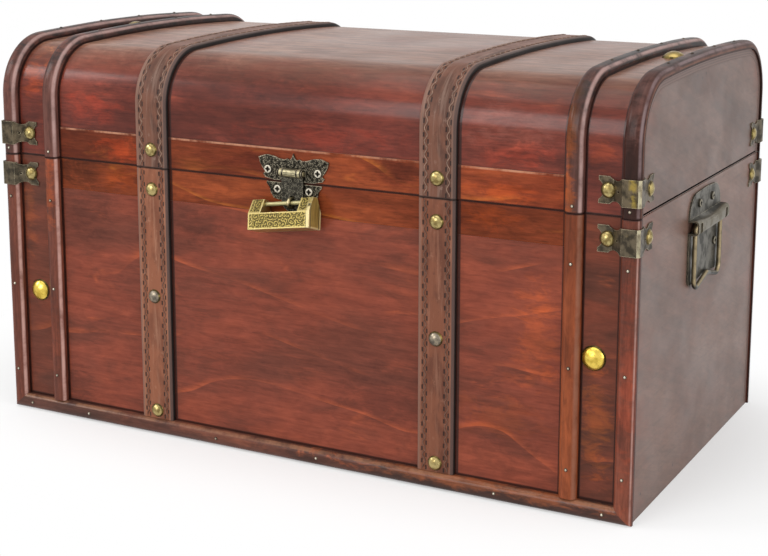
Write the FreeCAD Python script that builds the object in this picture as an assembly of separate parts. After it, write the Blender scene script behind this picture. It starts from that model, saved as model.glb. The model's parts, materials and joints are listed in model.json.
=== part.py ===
import FreeCAD, Part
import math
import os

# Wooden treasure chest with a rounded lid, bent-wood hoops, two straps, corner brackets,
# a butterfly hasp with a sliding-bolt padlock, and a drop handle on each end.
# Millimetres.  X runs along the front, -Y is the front, +Z is up, and the origin is at the
# middle of the flat underside.

V = FreeCAD.Vector
X, Y, Z = V(1, 0, 0), V(0, 1, 0), V(0, 0, 1)

# ---- overall case --------------------------------------------------------------------------
WIDTH = 480.0            # over the end hoops
DEPTH = 270.0            # over the front and back hoops
HEIGHT = 278.0           # to the top of the lid hoops
SEAM_Z = 191.0           # the line where the lid meets the base
SEAM_GAP = 0.4
END_SETBACK = 1.5        # end boards stand this far inside the end hoops
SKIN_T = 5.0             # front, back and lid sheets
END_T = 9.0              # end boards
FLOOR_T = 6.0
CORNER_R = 36.0          # lid sheet, front and back top corners
CROWN_R = 1800.0         # slow curve across the lid top

# ---- bent-wood trim ------------------------------------------------------------------------
TRIM_W = 12.0
TRIM_PROUD = 6.0
TRIM_ROUND = 4.6
FOOT_H = 11.0            # front and back mouldings along the floor line
HOOP_INSET = 42.0        # from an end to the centre of its inner hoop
HOOP_X = WIDTH / 2 - HOOP_INSET
RAIL_H = 22.0
RAIL_T = 9.0
LID_RAIL_PROUD = 0.5

# ---- straps and nails ----------------------------------------------------------------------
STRAP_X = (-0.231 * WIDTH, 0.223 * WIDTH)    # laid by eye, not quite symmetrical
STRAP_W = 26.0
STRAP_T = 3.2
STRAP_NAIL_Z = (17.0, 100.0, 176.0)      # on the base, front and back
STRAP_NAIL_LID = 12.7                    # above the seam
DOME_D, DOME_H, DOME_SHANK_R, DOME_SHANK_L = 10.0, 3.0, 0.8, 5.5
BOSS_D, BOSS_H, BOSS_SHANK_R, BOSS_SHANK_L = 15.0, 4.4, 1.0, 4.6
BOSS_FRONT = ((25.0 - WIDTH / 2, 0.476 * SEAM_Z), (WIDTH / 2 - 28.0, 0.534 * SEAM_Z))
BOSS_TOP = ((24.0 - WIDTH / 2, -4.0), (WIDTH / 2 - 24.0, -4.0))
PIN_D, PIN_H, PIN_SHANK_R, PIN_SHANK_L = 2.4, 0.6, 0.5, 9.0
PIN_UP = tuple(SEAM_Z * share for share in (0.157, 0.497, 0.838))     # up hoops and rims
PIN_OVER = tuple(DEPTH * share for share in (-0.267, -0.089, 0.089, 0.267))  # over the lid
PIN_FOOT = tuple(WIDTH * share for share in (-0.4625, -0.354, -0.125, 0.042, 0.3125, 0.4625))
PIN_LID_FRONT, PIN_LID_BACK = 4.5, 5.5                                # above the seam

# ---- corner brackets -----------------------------------------------------------------------
BRACKET_T = 0.8
BRACKET_H = 16.6
BRACKET_REACH = 27.5                     # from the hoop's outer corner to the tips
BRACKET_NAIL = 21.2                      # from the hoop's outer corner to the dome nail
BRACKET_WAIST, BRACKET_WAIST_R = 16.0, 6.0
BRACKET_WAIST_OUT = 3.9                  # centre of the waist's arc beyond the edge
BRACKET_TIP_R, BRACKET_TIP_OUT = 7.0, 3.8
BRACKET_HOLE, BRACKET_HOLE_R = 14.2, 0.7
BRACKET_LID_Z = SEAM_Z + 15.5
BRACKET_BASE_Z = SEAM_Z - 14.0

# ---- rear hinges ---------------------------------------------------------------------------
HINGE_INSET = 85.0       # from an end to the middle of a hinge
HINGE_X = WIDTH / 2 - HINGE_INSET
HINGE_OUT = 4.0                          # axis behind the back sheet
HINGE_L = 36.0
HINGE_LEAF_H = 15.0
HINGE_T = 1.2
HINGE_KNUCKLE_R = 2.8
HINGE_PIN_R = 1.3
HINGE_GAP = 0.3
LID_OPEN = 105.0                         # degrees

# ---- hasp ----------------------------------------------------------------------------------
HASP_X = 2.0
PLATE_T = 1.2
HASP_AXIS_UP = 6.9                       # above the seam
HASP_AXIS_OUT = 4.8                      # in front of the front sheet
HASP_R = 2.8
HASP_PIN_R = 1.1
HASP_BARREL = 9.3                        # half length
HASP_TONGUE_KNUCKLE = 5.2                # half length
TONGUE_W, TONGUE_T, TONGUE_END = 16.0, 1.4, 26.8
TONGUE_BACK = 2.1                        # back of the tongue in front of the front sheet
STAPLE_DROP = 13.0                       # below the seam
STAPLE_OUT = 5.8                         # in front of the front sheet
STAPLE_WIRE_R = 1.0
STAPLE_R = 2.9                           # centre line of the eye
SCREW_HEAD_R, SCREW_HEAD_H, SCREW_R, SCREW_L = 2.8, 1.2, 1.3, 7.0
# half outlines of the two wing plates, from the centre line, (across, above the seam)
UPPER_WING = ((0.0, 19.2), (1.0, 16.4), (2.4, 14.6), (4.6, 15.6), (6.6, 14.5), (10.0, 15.0),
              (15.0, 16.6), (20.5, 17.2), (26.6, 15.2), (25.6, 11.5), (23.6, 8.0), (21.4, 5.4),
              (23.4, 4.2), (21.6, 2.0), (15.0, 0.7), (0.0, 0.7))
LOWER_WING = ((0.0, -0.8), (20.8, -0.8), (21.0, -2.2), (18.8, -4.6), (17.8, -8.0), (15.6, -11.6),
              (11.5, -12.6), (7.4, -12.2), (5.0, -14.6), (2.6, -17.2), (0.0, -18.0))
UPPER_SCREW, LOWER_SCREW = (19.0, 7.6), (12.0, -5.2)

# ---- padlock, in its own frame: x along it, y from front to back, z up from its underside ---
LOCK_L, LOCK_D, LOCK_H = 47.0, 15.0, 20.6
LOCK_SHOULDER = 11.0                     # height of the upright front face
LOCK_TOP_D = 5.0
LOCK_OPEN = 14.2                         # half length of the gap between the two towers
LOCK_POCKET = 9.0                        # floor of that gap
LOCK_WALL = 1.6
LOCK_CAP_T, LOCK_CAP_GAP = 2.2, 0.2
LOCK_BAR_Z, LOCK_BAR_R, LOCK_BAR_FIT = 17.5, 1.4, 0.2
LOCK_BAR_TIP = -18.6
LOCK_HANG = 4.3                          # the staple sits this far right of its middle
LOCK_LEAN, LOCK_TILT = 18.0, 8.0         # degrees: against the front, and right end up

# ---- end handles, in their own frame: x out of the end board, y across, z up ----------------
HANDLE_W, HANDLE_Z0, HANDLE_Z1 = 68.0, SEAM_Z - 64.0, SEAM_Z - 3.0
HANDLE_TOP_R, HANDLE_BOW_R, HANDLE_LOW_R = 15.0, 60.0, 5.0
CHANNEL_Z, CHANNEL_H, CHANNEL_OUT = SEAM_Z - 24.5, 10.0, 7.6
BAIL_R, BAIL_HALF, BAIL_DROP, BAIL_CUSP = 1.6, 28.0, 43.0, 7.0
BAIL_AXIS_OUT = 3.3
BAIL_SLOT = 4.8
HANDLE_SCREWS = ((14.0, SEAM_Z - 11.5), (21.5, SEAM_Z - 43.5))

SKIN_Y = DEPTH / 2 - TRIM_PROUD
SKIN_TOP = HEIGHT - TRIM_PROUD
END_X = WIDTH / 2 - END_SETBACK
END_IN = END_X - END_T
RIM_IN = WIDTH / 2 - TRIM_W
RAIL_X = HOOP_X - TRIM_W / 2
BASE_TOP = SEAM_Z - SEAM_GAP / 2
LID_LOW = SEAM_Z + SEAM_GAP / 2
HINGE_Y = SKIN_Y + HINGE_OUT
HINGE_Z = SEAM_Z
# trim that stands behind the hinge axis is cut back so that the two halves meet only past LID_OPEN
RELIEF_H = (TRIM_PROUD - HINGE_OUT) * math.tan(math.radians(LID_OPEN / 2)) + 0.4
HASP_AXIS = V(HASP_X, -SKIN_Y - HASP_AXIS_OUT, SEAM_Z + HASP_AXIS_UP)
STAPLE_AT = V(HASP_X, -SKIN_Y - STAPLE_OUT, SEAM_Z - STAPLE_DROP)

parts = {}


def box(x0, x1, y0, y1, z0, z1):
    return Part.makeBox(x1 - x0, y1 - y0, z1 - z0, V(x0, y0, z0))


def rod(r, start, end):
    return Part.makeCylinder(r, (end - start).Length, start, end - start)


def fuse(shapes):
    shape = shapes[0].fuse(list(shapes[1:])) if len(shapes) > 1 else shapes[0]
    return shape.removeSplitter()


def face(points):
    return Part.Face(Part.makePolygon(list(points) + [points[0]]))


def flip_x(shape):
    return shape.mirror(V(), X)


def flip_y(shape):
    return shape.mirror(V(), Y)


def place(shape, at, out):
    """Stand a shape that was made along +Z at a point, with +Z turned to the direction out."""
    moved = shape.copy()
    moved.Placement = FreeCAD.Placement(at, FreeCAD.Rotation(Z, out)).multiply(moved.Placement)
    return moved


def drive(fixings, into):
    """Bore the named pieces to take the fixings that reach them."""
    for name in into:
        piece = parts[name]
        near = [f for f in fixings if f.BoundBox.intersect(piece.BoundBox)]
        if near:
            solids = piece.cut(near).Solids
            parts[name] = solids[0] if len(solids) == 1 else Part.makeCompound(solids)


def group(name, solids):
    parts[name] = Part.makeCompound(solids)


# ---- lid profile ---------------------------------------------------------------------------

def lid_arc_centres():
    """Centre of a top corner arc, and of the crown arc that meets it tangentially."""
    corner_y = SKIN_Y - CORNER_R
    crown_z = SKIN_TOP - CROWN_R
    corner_z = crown_z + math.sqrt((CROWN_R - CORNER_R) ** 2 - corner_y ** 2)
    return corner_y, corner_z, crown_z


def lid_path(offset, low=LID_LOW):
    """Edges of the lid profile in the YZ plane, front to back, moved outward by offset."""
    cy, cz, crown_z = lid_arc_centres()
    lean = math.atan2(cy, cz - crown_z)
    r, crown = CORNER_R + offset, CROWN_R + offset

    def corner(side, angle):
        return V(0, side * (cy + r * math.cos(angle)), cz + r * math.sin(angle))

    join = math.pi / 2 - lean
    edges = []
    for side in (-1, 1):
        foot = V(0, side * (SKIN_Y + offset), low)
        edges.append((Part.LineSegment(foot, corner(side, 0)),
                      Part.Arc(corner(side, 0), corner(side, join / 2), corner(side, join))))
    top = Part.Arc(corner(-1, join), V(0, 0, crown_z + crown), corner(1, join))
    order = [edges[0][0], edges[0][1], top, edges[1][1], edges[1][0]]
    return [curve.toShape() for curve in order]


def lid_face(offset, low=LID_LOW):
    closing = Part.makeLine(V(0, SKIN_Y + offset, low), V(0, -SKIN_Y - offset, low))
    return Part.Face(Part.Wire(Part.__sortEdges__(lid_path(offset, low) + [closing])))


def lid_slab(offset, x0, x1):
    slab = lid_face(offset).extrude(V(x1 - x0, 0, 0))
    slab.translate(V(x0, 0, 0))
    return slab


def lid_band(inner, outer, x0, x1):
    return lid_slab(outer, x0, x1).cut(lid_slab(inner, x0 - 1, x1 + 1))


def lid_top_z(y):
    return SKIN_TOP - CROWN_R + math.sqrt(CROWN_R ** 2 - y ** 2)


def lid_hoop(x0, x1):
    """Half-round bent moulding over the lid: a band with its two outer edges rounded."""
    band = lid_band(0, TRIM_PROUD, x0, x1)
    reach = lid_face(TRIM_PROUD - 0.01)
    outer = []
    for edge in band.Edges:
        mid = edge.valueAt((edge.FirstParameter + edge.LastParameter) / 2)
        along_x = abs(edge.BoundBox.XLength) > 0.1
        upright_end = edge.BoundBox.ZLength < 1e-6
        if along_x or upright_end:
            continue
        if not reach.isInside(V(0, mid.y, mid.z), 1e-4, True):
            outer.append(edge)
    return band.makeFillet(TRIM_ROUND, outer)


# ---- case ----------------------------------------------------------------------------------

def make_base_case():
    rail_z = SEAM_Z - RAIL_H
    sheet = box(-END_X, END_X, -SKIN_Y, -SKIN_Y + SKIN_T, 0, BASE_TOP)
    sheet = sheet.cut(box(-RAIL_X, RAIL_X, -SKIN_Y - 1, -SKIN_Y + SKIN_T + 1, rail_z, BASE_TOP + 1))
    rail = box(-RAIL_X, RAIL_X, -SKIN_Y, -SKIN_Y + RAIL_T, rail_z, BASE_TOP)
    parts["base_front_panel"], parts["base_front_rail"] = sheet, rail
    parts["base_back_panel"], parts["base_back_rail"] = flip_y(sheet), flip_y(rail)
    inner_y = SKIN_Y - SKIN_T
    end = box(END_IN, END_X, -inner_y, inner_y, 0, BASE_TOP)
    parts["base_right_end"], parts["base_left_end"] = end, flip_x(end)
    parts["base_floor"] = box(-END_IN, END_IN, -inner_y, inner_y, 0, FLOOR_T)


def make_lid_case():
    rail_z = SEAM_Z + RAIL_H
    skin = lid_band(-SKIN_T, 0, -END_X, END_X)
    notch = box(-RAIL_X, RAIL_X, -SKIN_Y - 1, -SKIN_Y + SKIN_T + 1, LID_LOW - 1, rail_z)
    parts["lid_skin"] = skin.cut([notch, flip_y(notch)])
    front = box(-RAIL_X, RAIL_X, -SKIN_Y - LID_RAIL_PROUD, -SKIN_Y + RAIL_T, LID_LOW, rail_z)
    back = box(-RAIL_X, RAIL_X, SKIN_Y - RAIL_T, SKIN_Y, LID_LOW, rail_z)
    parts["lid_front_rail"], parts["lid_back_rail"] = front, back
    end = lid_slab(-SKIN_T, END_IN, END_X)
    parts["lid_right_end"], parts["lid_left_end"] = end, flip_x(end)


# ---- trim ----------------------------------------------------------------------------------

def relief(x0, x1):
    """Space cleared behind the hinge axis, at the seam, in the rear trim."""
    return box(x0 - 1, x1 + 1, HINGE_Y - 0.3, SKIN_Y + TRIM_PROUD + 1,
               SEAM_Z - RELIEF_H, SEAM_Z + RELIEF_H)


def half_round(x0, x1, z0, z1, upright):
    """Straight half-round moulding on the front sheet, its rounded edges along its length."""
    bar = box(x0, x1, -SKIN_Y - TRIM_PROUD, -SKIN_Y, z0, z1)
    front = -SKIN_Y - TRIM_PROUD
    length = z1 - z0 if upright else x1 - x0
    edges = [e for e in bar.Edges
             if abs(e.Length - length) < 1e-6 and e.BoundBox.YLength < 1e-6
             and abs(e.BoundBox.YMin - front) < 1e-6]
    return bar.makeFillet(TRIM_ROUND, edges)


def make_trim():
    half = WIDTH / 2
    corner = face([V(half, 0, 0), V(RIM_IN, 0, FOOT_H), V(RIM_IN, 0, -1), V(half, 0, -1)])
    below = corner.extrude(V(0, -DEPTH, 0))
    beside = face([V(half, 0, 0), V(RIM_IN, 0, FOOT_H), V(RIM_IN, 0, FOOT_H + 1),
                   V(half + 1, 0, FOOT_H + 1), V(half + 1, 0, 0)]).extrude(V(0, -DEPTH, 0))
    rim = half_round(RIM_IN, half, 0, BASE_TOP, True).cut(below)
    hoop = half_round(HOOP_X - TRIM_W / 2, HOOP_X + TRIM_W / 2, FOOT_H, BASE_TOP, True)
    foot = half_round(-half, half, 0, FOOT_H, False).cut([beside, flip_x(beside)])
    parts["base_front_moulding"], parts["base_back_moulding"] = foot, flip_y(foot)
    for name, piece in (("rim", rim), ("hoop", hoop)):
        back = flip_y(piece).cut(relief(piece.BoundBox.XMin, piece.BoundBox.XMax))
        parts["base_%s_front_right" % name] = piece
        parts["base_%s_front_left" % name] = flip_x(piece)
        parts["base_%s_back_right" % name] = back
        parts["base_%s_back_left" % name] = flip_x(back)
    for name, x0, x1 in (("rim", RIM_IN, half), ("hoop", HOOP_X - TRIM_W / 2, HOOP_X + TRIM_W / 2)):
        piece = lid_hoop(x0, x1).cut(relief(x0, x1))
        parts["lid_%s_right" % name], parts["lid_%s_left" % name] = piece, flip_x(piece)


def make_straps():
    for side, x in zip(("left", "right"), STRAP_X):
        x0, x1 = x - STRAP_W / 2, x + STRAP_W / 2
        front = box(x0, x1, -SKIN_Y - STRAP_T, -SKIN_Y, FOOT_H, BASE_TOP)
        parts["base_strap_front_" + side] = front
        parts["base_strap_back_" + side] = flip_y(front)
        parts["lid_strap_" + side] = lid_band(0, STRAP_T, x0, x1).cut(parts["lid_front_rail"])


# ---- nails, screws and brackets ------------------------------------------------------------

def dome_nail(d, h, shank_r, shank_l):
    """Nail along Z with a domed head above the origin and its shank below."""
    r = (d * d / 4 + h * h) / (2 * h)
    ball = Part.makeSphere(r, V(0, 0, h - r))
    cap = ball.common(Part.makeCylinder(d, h + 1))
    return fuse([cap, Part.makeCylinder(shank_r, shank_l + 0.5, V(0, 0, -shank_l))])


def cross_screw():
    """Pan-head screw along Z with a cross recess."""
    head = Part.makeCylinder(SCREW_HEAD_R, SCREW_HEAD_H)
    rim = [e for e in head.Edges if e.BoundBox.ZMin > SCREW_HEAD_H - 1e-6]
    head = head.makeFillet(0.6, rim)
    arm = box(-SCREW_HEAD_R * 0.62, SCREW_HEAD_R * 0.62, -0.4, 0.4, SCREW_HEAD_H - 0.7, SCREW_HEAD_H + 1)
    turned = arm.copy()
    turned.rotate(V(), Z, 90)
    head = head.cut([arm, turned])
    return fuse([head, Part.makeCylinder(SCREW_R, SCREW_L + 0.3, V(0, 0, -SCREW_L))])


def bracket_sheet():
    """Corner bracket round the front right hoop: flange, over the moulding, side flange."""
    half, front, reach = WIDTH / 2, -DEPTH / 2, BRACKET_REACH
    inner = [(half - reach, -SKIN_Y), (RIM_IN - 6, -SKIN_Y), (RIM_IN + 1.6, front), (half - 1.2, front),
             (half, front + 1.2), (half, -SKIN_Y + 0.5), (END_X, -SKIN_Y + 4), (END_X, front + reach)]
    normals = []
    for (ax, ay), (bx, by) in zip(inner, inner[1:]):
        length = math.hypot(bx - ax, by - ay)
        normals.append(((by - ay) / length, -(bx - ax) / length))
    outer = []
    for i, (px, py) in enumerate(inner):
        a, b = normals[max(i - 1, 0)], normals[min(i, len(normals) - 1)]
        mx, my = a[0] + b[0], a[1] + b[1]
        k = 2 * BRACKET_T / (mx * mx + my * my)
        outer.append((px + mx * k, py + my * k))
    low = -BRACKET_H / 2
    strip = face([V(x, y, low) for x, y in inner + outer[::-1]]).extrude(V(0, 0, BRACKET_H))
    # waist above and below, a hollow between the two tips, and a small nail hole at the waist
    waist_z, tip = BRACKET_H / 2 + BRACKET_WAIST_OUT, reach + BRACKET_TIP_OUT
    rounds = [(BRACKET_WAIST_R, BRACKET_WAIST, waist_z), (BRACKET_WAIST_R, BRACKET_WAIST, -waist_z),
              (BRACKET_TIP_R, tip, 0), (BRACKET_HOLE_R, BRACKET_HOLE, 0)]
    cuts = []
    for r, back, z in rounds:
        cuts.append(rod(r, V(half - back, 0, z), V(half - back, -DEPTH, z)))
        cuts.append(rod(r, V(0, front + back, z), V(WIDTH, front + back, z)))
    return strip.cut(cuts)


def make_brackets():
    sheet = bracket_sheet()
    nail = dome_nail(DOME_D, DOME_H, DOME_SHANK_R, DOME_SHANK_L)
    front = place(nail, V(WIDTH / 2 - BRACKET_NAIL, -SKIN_Y - BRACKET_T, 0), -Y)
    side = place(nail, V(END_X + BRACKET_T, -DEPTH / 2 + BRACKET_NAIL, 0), X)
    domes = {}
    for half, z in (("base", BRACKET_BASE_Z), ("lid", BRACKET_LID_Z)):
        sheets, nails = [], []
        for flip_lr in (False, True):
            for flip_fb in (False, True):
                pieces = [sheet.copy(), front.copy(), side.copy()]
                if flip_lr:
                    pieces = [flip_x(p) for p in pieces]
                if flip_fb:
                    pieces = [flip_y(p) for p in pieces]
                for p in pieces:
                    p.translate(V(0, 0, z))
                sheets.append(pieces[0].cut(pieces[1:]).Solids[0])
                nails += pieces[1:]
        group(half + "_corner_brackets", sheets)
        domes[half] = nails
    return domes


def make_domes(domes):
    """Dome nails of brackets and straps, the large bosses, and the fine pins in the trim."""
    nail = dome_nail(DOME_D, DOME_H, DOME_SHANK_R, DOME_SHANK_L)
    boss = dome_nail(BOSS_D, BOSS_H, BOSS_SHANK_R, BOSS_SHANK_L)
    face_y = -SKIN_Y - STRAP_T
    for x in STRAP_X:
        base = [place(nail, V(x, face_y, z), -Y) for z in STRAP_NAIL_Z]
        lid = place(nail, V(x, face_y, SEAM_Z + STRAP_NAIL_LID), -Y)
        domes["base"] += base + [flip_y(n) for n in base]
        domes["lid"] += [lid, flip_y(lid)]
    group("base_dome_nails", domes["base"])
    group("lid_dome_nails", domes["lid"])
    group("base_bosses", [place(boss, V(x, -SKIN_Y, z), -Y) for x, z in BOSS_FRONT])
    group("lid_bosses", [place(boss, V(x, y, lid_top_z(y)), Z) for x, y in BOSS_TOP])
    pin = dome_nail(PIN_D, PIN_H, PIN_SHANK_R, PIN_SHANK_L)
    trim_y = -SKIN_Y - TRIM_PROUD
    base, lid = [], []
    for x in (HOOP_X, WIDTH / 2 - TRIM_W / 2):
        for sx in (-1, 1):
            base += [place(pin, V(sx * x, trim_y, z), -Y) for z in PIN_UP]
            lid.append(place(pin, V(sx * x, trim_y, SEAM_Z + PIN_LID_FRONT), -Y))
            lid.append(place(pin, V(sx * x, -trim_y, SEAM_Z + PIN_LID_BACK), Y))
            lid += [place(pin, V(sx * x, y, lid_top_z(y) + TRIM_PROUD), Z) for y in PIN_OVER]
    base += [place(pin, V(x, trim_y, FOOT_H / 2), -Y) for x in PIN_FOOT]
    base += [flip_y(p) for p in base]
    group("base_pins", base)
    group("lid_pins", lid)


# ---- hinges --------------------------------------------------------------------------------

def make_hinges():
    screw = cross_screw()
    third = HINGE_L / 3
    leaves = {"base": [], "lid": []}
    screws = {"base": [], "lid": []}
    pins = []
    for x in (-HINGE_X, HINGE_X):
        pin = rod(HINGE_PIN_R, V(x - HINGE_L / 2, HINGE_Y, HINGE_Z), V(x + HINGE_L / 2, HINGE_Y, HINGE_Z))
        pins.append(pin)
        for half, up in (("base", -1), ("lid", 1)):
            near = HINGE_Z + up * (HINGE_KNUCKLE_R - HINGE_T)
            far = HINGE_Z + up * (HINGE_KNUCKLE_R + HINGE_LEAF_H)
            step = HINGE_Z + up * HINGE_KNUCKLE_R
            solids = [box(x - HINGE_L / 2, x + HINGE_L / 2, SKIN_Y, SKIN_Y + HINGE_T,
                          min(near, far), max(near, far))]
            if half == "base":
                spans = [(x - HINGE_L / 2, x - third / 2 - HINGE_GAP / 2),
                         (x + third / 2 + HINGE_GAP / 2, x + HINGE_L / 2)]
            else:
                spans = [(x - third / 2 + HINGE_GAP / 2, x + third / 2 - HINGE_GAP / 2)]
            for x0, x1 in spans:
                solids.append(rod(HINGE_KNUCKLE_R, V(x0, HINGE_Y, HINGE_Z), V(x1, HINGE_Y, HINGE_Z)))
                solids.append(box(x0, x1, SKIN_Y, HINGE_Y, min(near, step), max(near, step)))
            bore = pin if half == "base" else rod(HINGE_PIN_R + 0.1, V(x - third, HINGE_Y, HINGE_Z),
                                                  V(x + third, HINGE_Y, HINGE_Z))
            leaves[half].append(fuse(solids).cut(bore))
            z = HINGE_Z + up * (HINGE_KNUCKLE_R + HINGE_LEAF_H * 0.55)
            screws[half] += [place(screw, V(x + dx, SKIN_Y + HINGE_T, z), Y) for dx in (-11.0, 11.0)]
    group("hinge_base_leaves", [s.Solids[0] for s in leaves["base"]])
    group("hinge_lid_leaves", [s.Solids[0] for s in leaves["lid"]])
    group("hinge_pins", pins)
    return screws


# ---- hasp ----------------------------------------------------------------------------------

def wing_plate(half, front_y):
    """Sheet plate from a half outline mirrored about the hasp's centre line."""
    outline = [(x, z) for x, z in half] + [(-x, z) for x, z in half[-2:0:-1]]
    points = [V(HASP_X + x, front_y, SEAM_Z + z) for x, z in outline]
    return face(points).extrude(V(0, PLATE_T, 0))


def make_hasp(screws):
    screw = cross_screw()
    upper_y = -SKIN_Y - LID_RAIL_PROUD - PLATE_T
    lower_y = -SKIN_Y - PLATE_T
    axis, half = HASP_AXIS, V(HASP_BARREL, 0, 0)
    # the lid plate carries the two outer lugs of the barrel
    upper = [wing_plate(UPPER_WING, upper_y)]
    for side in (-1, 1):
        x0, x1 = sorted((side * HASP_BARREL, side * (HASP_TONGUE_KNUCKLE + 0.3)))
        upper.append(rod(HASP_R, axis + V(x0, 0, 0), axis + V(x1, 0, 0)))
        upper.append(box(axis.x + x0, axis.x + x1, axis.y, upper_y + 0.1, axis.z - 2.0, axis.z + 2.0))
    pin = fuse([rod(HASP_PIN_R, axis - half, axis + half),
                rod(HASP_PIN_R + 0.5, axis + half, axis + half + V(0.8, 0, 0)),
                rod(HASP_PIN_R + 0.5, axis - half - V(0.8, 0, 0), axis - half)])
    parts["hasp_pin"] = pin
    parts["hasp_upper_plate"] = fuse(upper).cut(pin)
    # the tongue hangs from the middle knuckle; its slot passes over the staple
    back, knuckle = -SKIN_Y - TONGUE_BACK, V(HASP_TONGUE_KNUCKLE, 0, 0)
    low, round_z = axis.z - TONGUE_END, axis.z - TONGUE_END + TONGUE_W / 2
    blade = box(HASP_X - TONGUE_W / 2, HASP_X + TONGUE_W / 2, back - TONGUE_T, back,
                round_z, axis.z - HASP_R - 0.6)
    end = rod(TONGUE_W / 2, V(HASP_X, back - TONGUE_T, round_z), V(HASP_X, back, round_z))
    neck = box(HASP_X - HASP_TONGUE_KNUCKLE, HASP_X + HASP_TONGUE_KNUCKLE, back - TONGUE_T, back,
               axis.z - HASP_R - 1, axis.z)
    tongue = fuse([blade, end, neck, rod(HASP_R, axis - knuckle, axis + knuckle)])
    slot_r, reach = STAPLE_WIRE_R + 0.9, STAPLE_R + STAPLE_WIRE_R + 0.8
    slot = box(HASP_X - slot_r, HASP_X + slot_r, back - TONGUE_T - 1, back + 1,
               STAPLE_AT.z - reach, STAPLE_AT.z + reach)
    corners = [e for e in slot.Edges if e.BoundBox.YLength > 1]
    slot = slot.makeFillet(slot_r - 0.1, corners)
    bore = rod(HASP_PIN_R + 0.1, axis - half, axis + half)
    parts["hasp_tongue"] = tongue.cut([slot, bore])
    # the staple is a wire eye whose legs are driven through the base plate into the rail
    at, r = STAPLE_AT, STAPLE_R
    root = -SKIN_Y + 5.0
    path = Part.Wire([
        Part.LineSegment(V(at.x, root, at.z + r), V(at.x, at.y, at.z + r)).toShape(),
        Part.Arc(V(at.x, at.y, at.z + r), V(at.x, at.y - r, at.z), V(at.x, at.y, at.z - r)).toShape(),
        Part.LineSegment(V(at.x, at.y, at.z - r), V(at.x, root, at.z - r)).toShape()])
    ring = Part.Wire(Part.makeCircle(STAPLE_WIRE_R, V(at.x, root, at.z + r), Y))
    parts["hasp_staple"] = path.makePipeShell([ring], True, True)
    parts["hasp_lower_plate"] = wing_plate(LOWER_WING, lower_y)
    drive([parts["hasp_staple"]], ["hasp_lower_plate", "base_front_rail"])
    for side in (-1, 1):
        x, z = UPPER_SCREW
        screws["lid"].append(place(screw, V(HASP_X + side * x, upper_y, SEAM_Z + z), -Y))
        x, z = LOWER_SCREW
        screws["base"].append(place(screw, V(HASP_X + side * x, lower_y, SEAM_Z + z), -Y))
    return screws


# ---- padlock -------------------------------------------------------------------------------

def hang_lock(shape):
    """Move a piece from the padlock's own frame to where the padlock hangs on the staple."""
    shape = shape.copy()
    shape.translate(V(-LOCK_HANG, -LOCK_D / 2, -LOCK_BAR_Z))
    shape.rotate(V(), X, -LOCK_LEAN)
    shape.rotate(V(), Y, -LOCK_TILT)
    shape.translate(STAPLE_AT)
    return shape


def lock_section(x0, x1):
    """House-shaped length of the padlock: upright faces below, sloping ones above."""
    d0, d1 = (LOCK_D - LOCK_TOP_D) / 2, (LOCK_D + LOCK_TOP_D) / 2
    outline = [(0, 0), (LOCK_D, 0), (LOCK_D, LOCK_SHOULDER), (d1, LOCK_H), (d0, LOCK_H), (0, LOCK_SHOULDER)]
    return face([V(x0, d, z) for d, z in outline]).extrude(V(x1 - x0, 0, 0))


def make_padlock():
    half, mid = LOCK_L / 2, LOCK_D / 2
    cap = half - LOCK_CAP_T
    mouth = cap - LOCK_CAP_GAP
    body = lock_section(-half, mouth)
    body = body.cut([
        box(-LOCK_OPEN, LOCK_OPEN, -1, LOCK_D + 1, LOCK_SHOULDER, LOCK_H + 1),
        box(-LOCK_OPEN, LOCK_OPEN, LOCK_WALL, LOCK_D - LOCK_WALL, LOCK_POCKET, LOCK_H + 1),
        box(-half + 3.5, mouth + 1, 2.5, LOCK_D - 2.5, 1.8, 7.4),
        box(-half - 1, -half + 4, mid - 1.2, mid + 1.2, 2.6, 6.6),
        rod(LOCK_BAR_R + LOCK_BAR_FIT, V(LOCK_BAR_TIP - 0.8, mid, LOCK_BAR_Z), V(mouth + 1, mid, LOCK_BAR_Z))])
    bolt = fuse([
        lock_section(cap, half),
        rod(LOCK_BAR_R, V(LOCK_BAR_TIP, mid, LOCK_BAR_Z), V(cap + 0.5, mid, LOCK_BAR_Z)),
        box(-16.0, cap + 0.5, mid - 1.2, mid + 1.2, 3.0, 6.2)])
    springs = [box(-14.0, 16.0, mid + 1.2, mid + 1.7, 3.4, 5.8), box(-14.0, 16.0, mid - 1.7, mid - 1.2, 3.4, 5.8)]
    parts["padlock_body"] = hang_lock(body)
    parts["padlock_bolt"] = hang_lock(bolt)
    group("padlock_springs", [hang_lock(s) for s in springs])


# ---- end handles ---------------------------------------------------------------------------

def round_wire(points, radii):
    """Closed wire through points, each corner rounded by its own radius."""
    count, edges, joins = len(points), [], []
    for i, (p, r) in enumerate(zip(points, radii)):
        a = (points[i - 1] - p).normalize()
        b = (points[(i + 1) % count] - p).normalize()
        half = a.getAngle(b) / 2
        run = r / math.tan(half)
        middle = (a + b).normalize() * (r / math.sin(half) - r)
        joins.append((p + a * run, p + middle, p + b * run))
    for i, (start, mid, end) in enumerate(joins):
        edges.append(Part.Arc(start, mid, end).toShape())
        following = joins[(i + 1) % count][0]
        if (following - end).Length > 1e-6:
            edges.append(Part.LineSegment(end, following).toShape())
    return Part.Wire(edges)


def channel(extra, x0, r):
    """Length of the raised channel, grown outward by extra, its two outer edges rounded."""
    bar = box(x0, CHANNEL_OUT - PLATE_T + extra, -HANDLE_W / 2, HANDLE_W / 2,
              CHANNEL_Z - CHANNEL_H / 2 + PLATE_T - extra, CHANNEL_Z + CHANNEL_H / 2 - PLATE_T + extra)
    outer = [e for e in bar.Edges if e.BoundBox.YLength > 1 and e.BoundBox.XMin > 1]
    return bar.makeFillet(r, outer)


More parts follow.
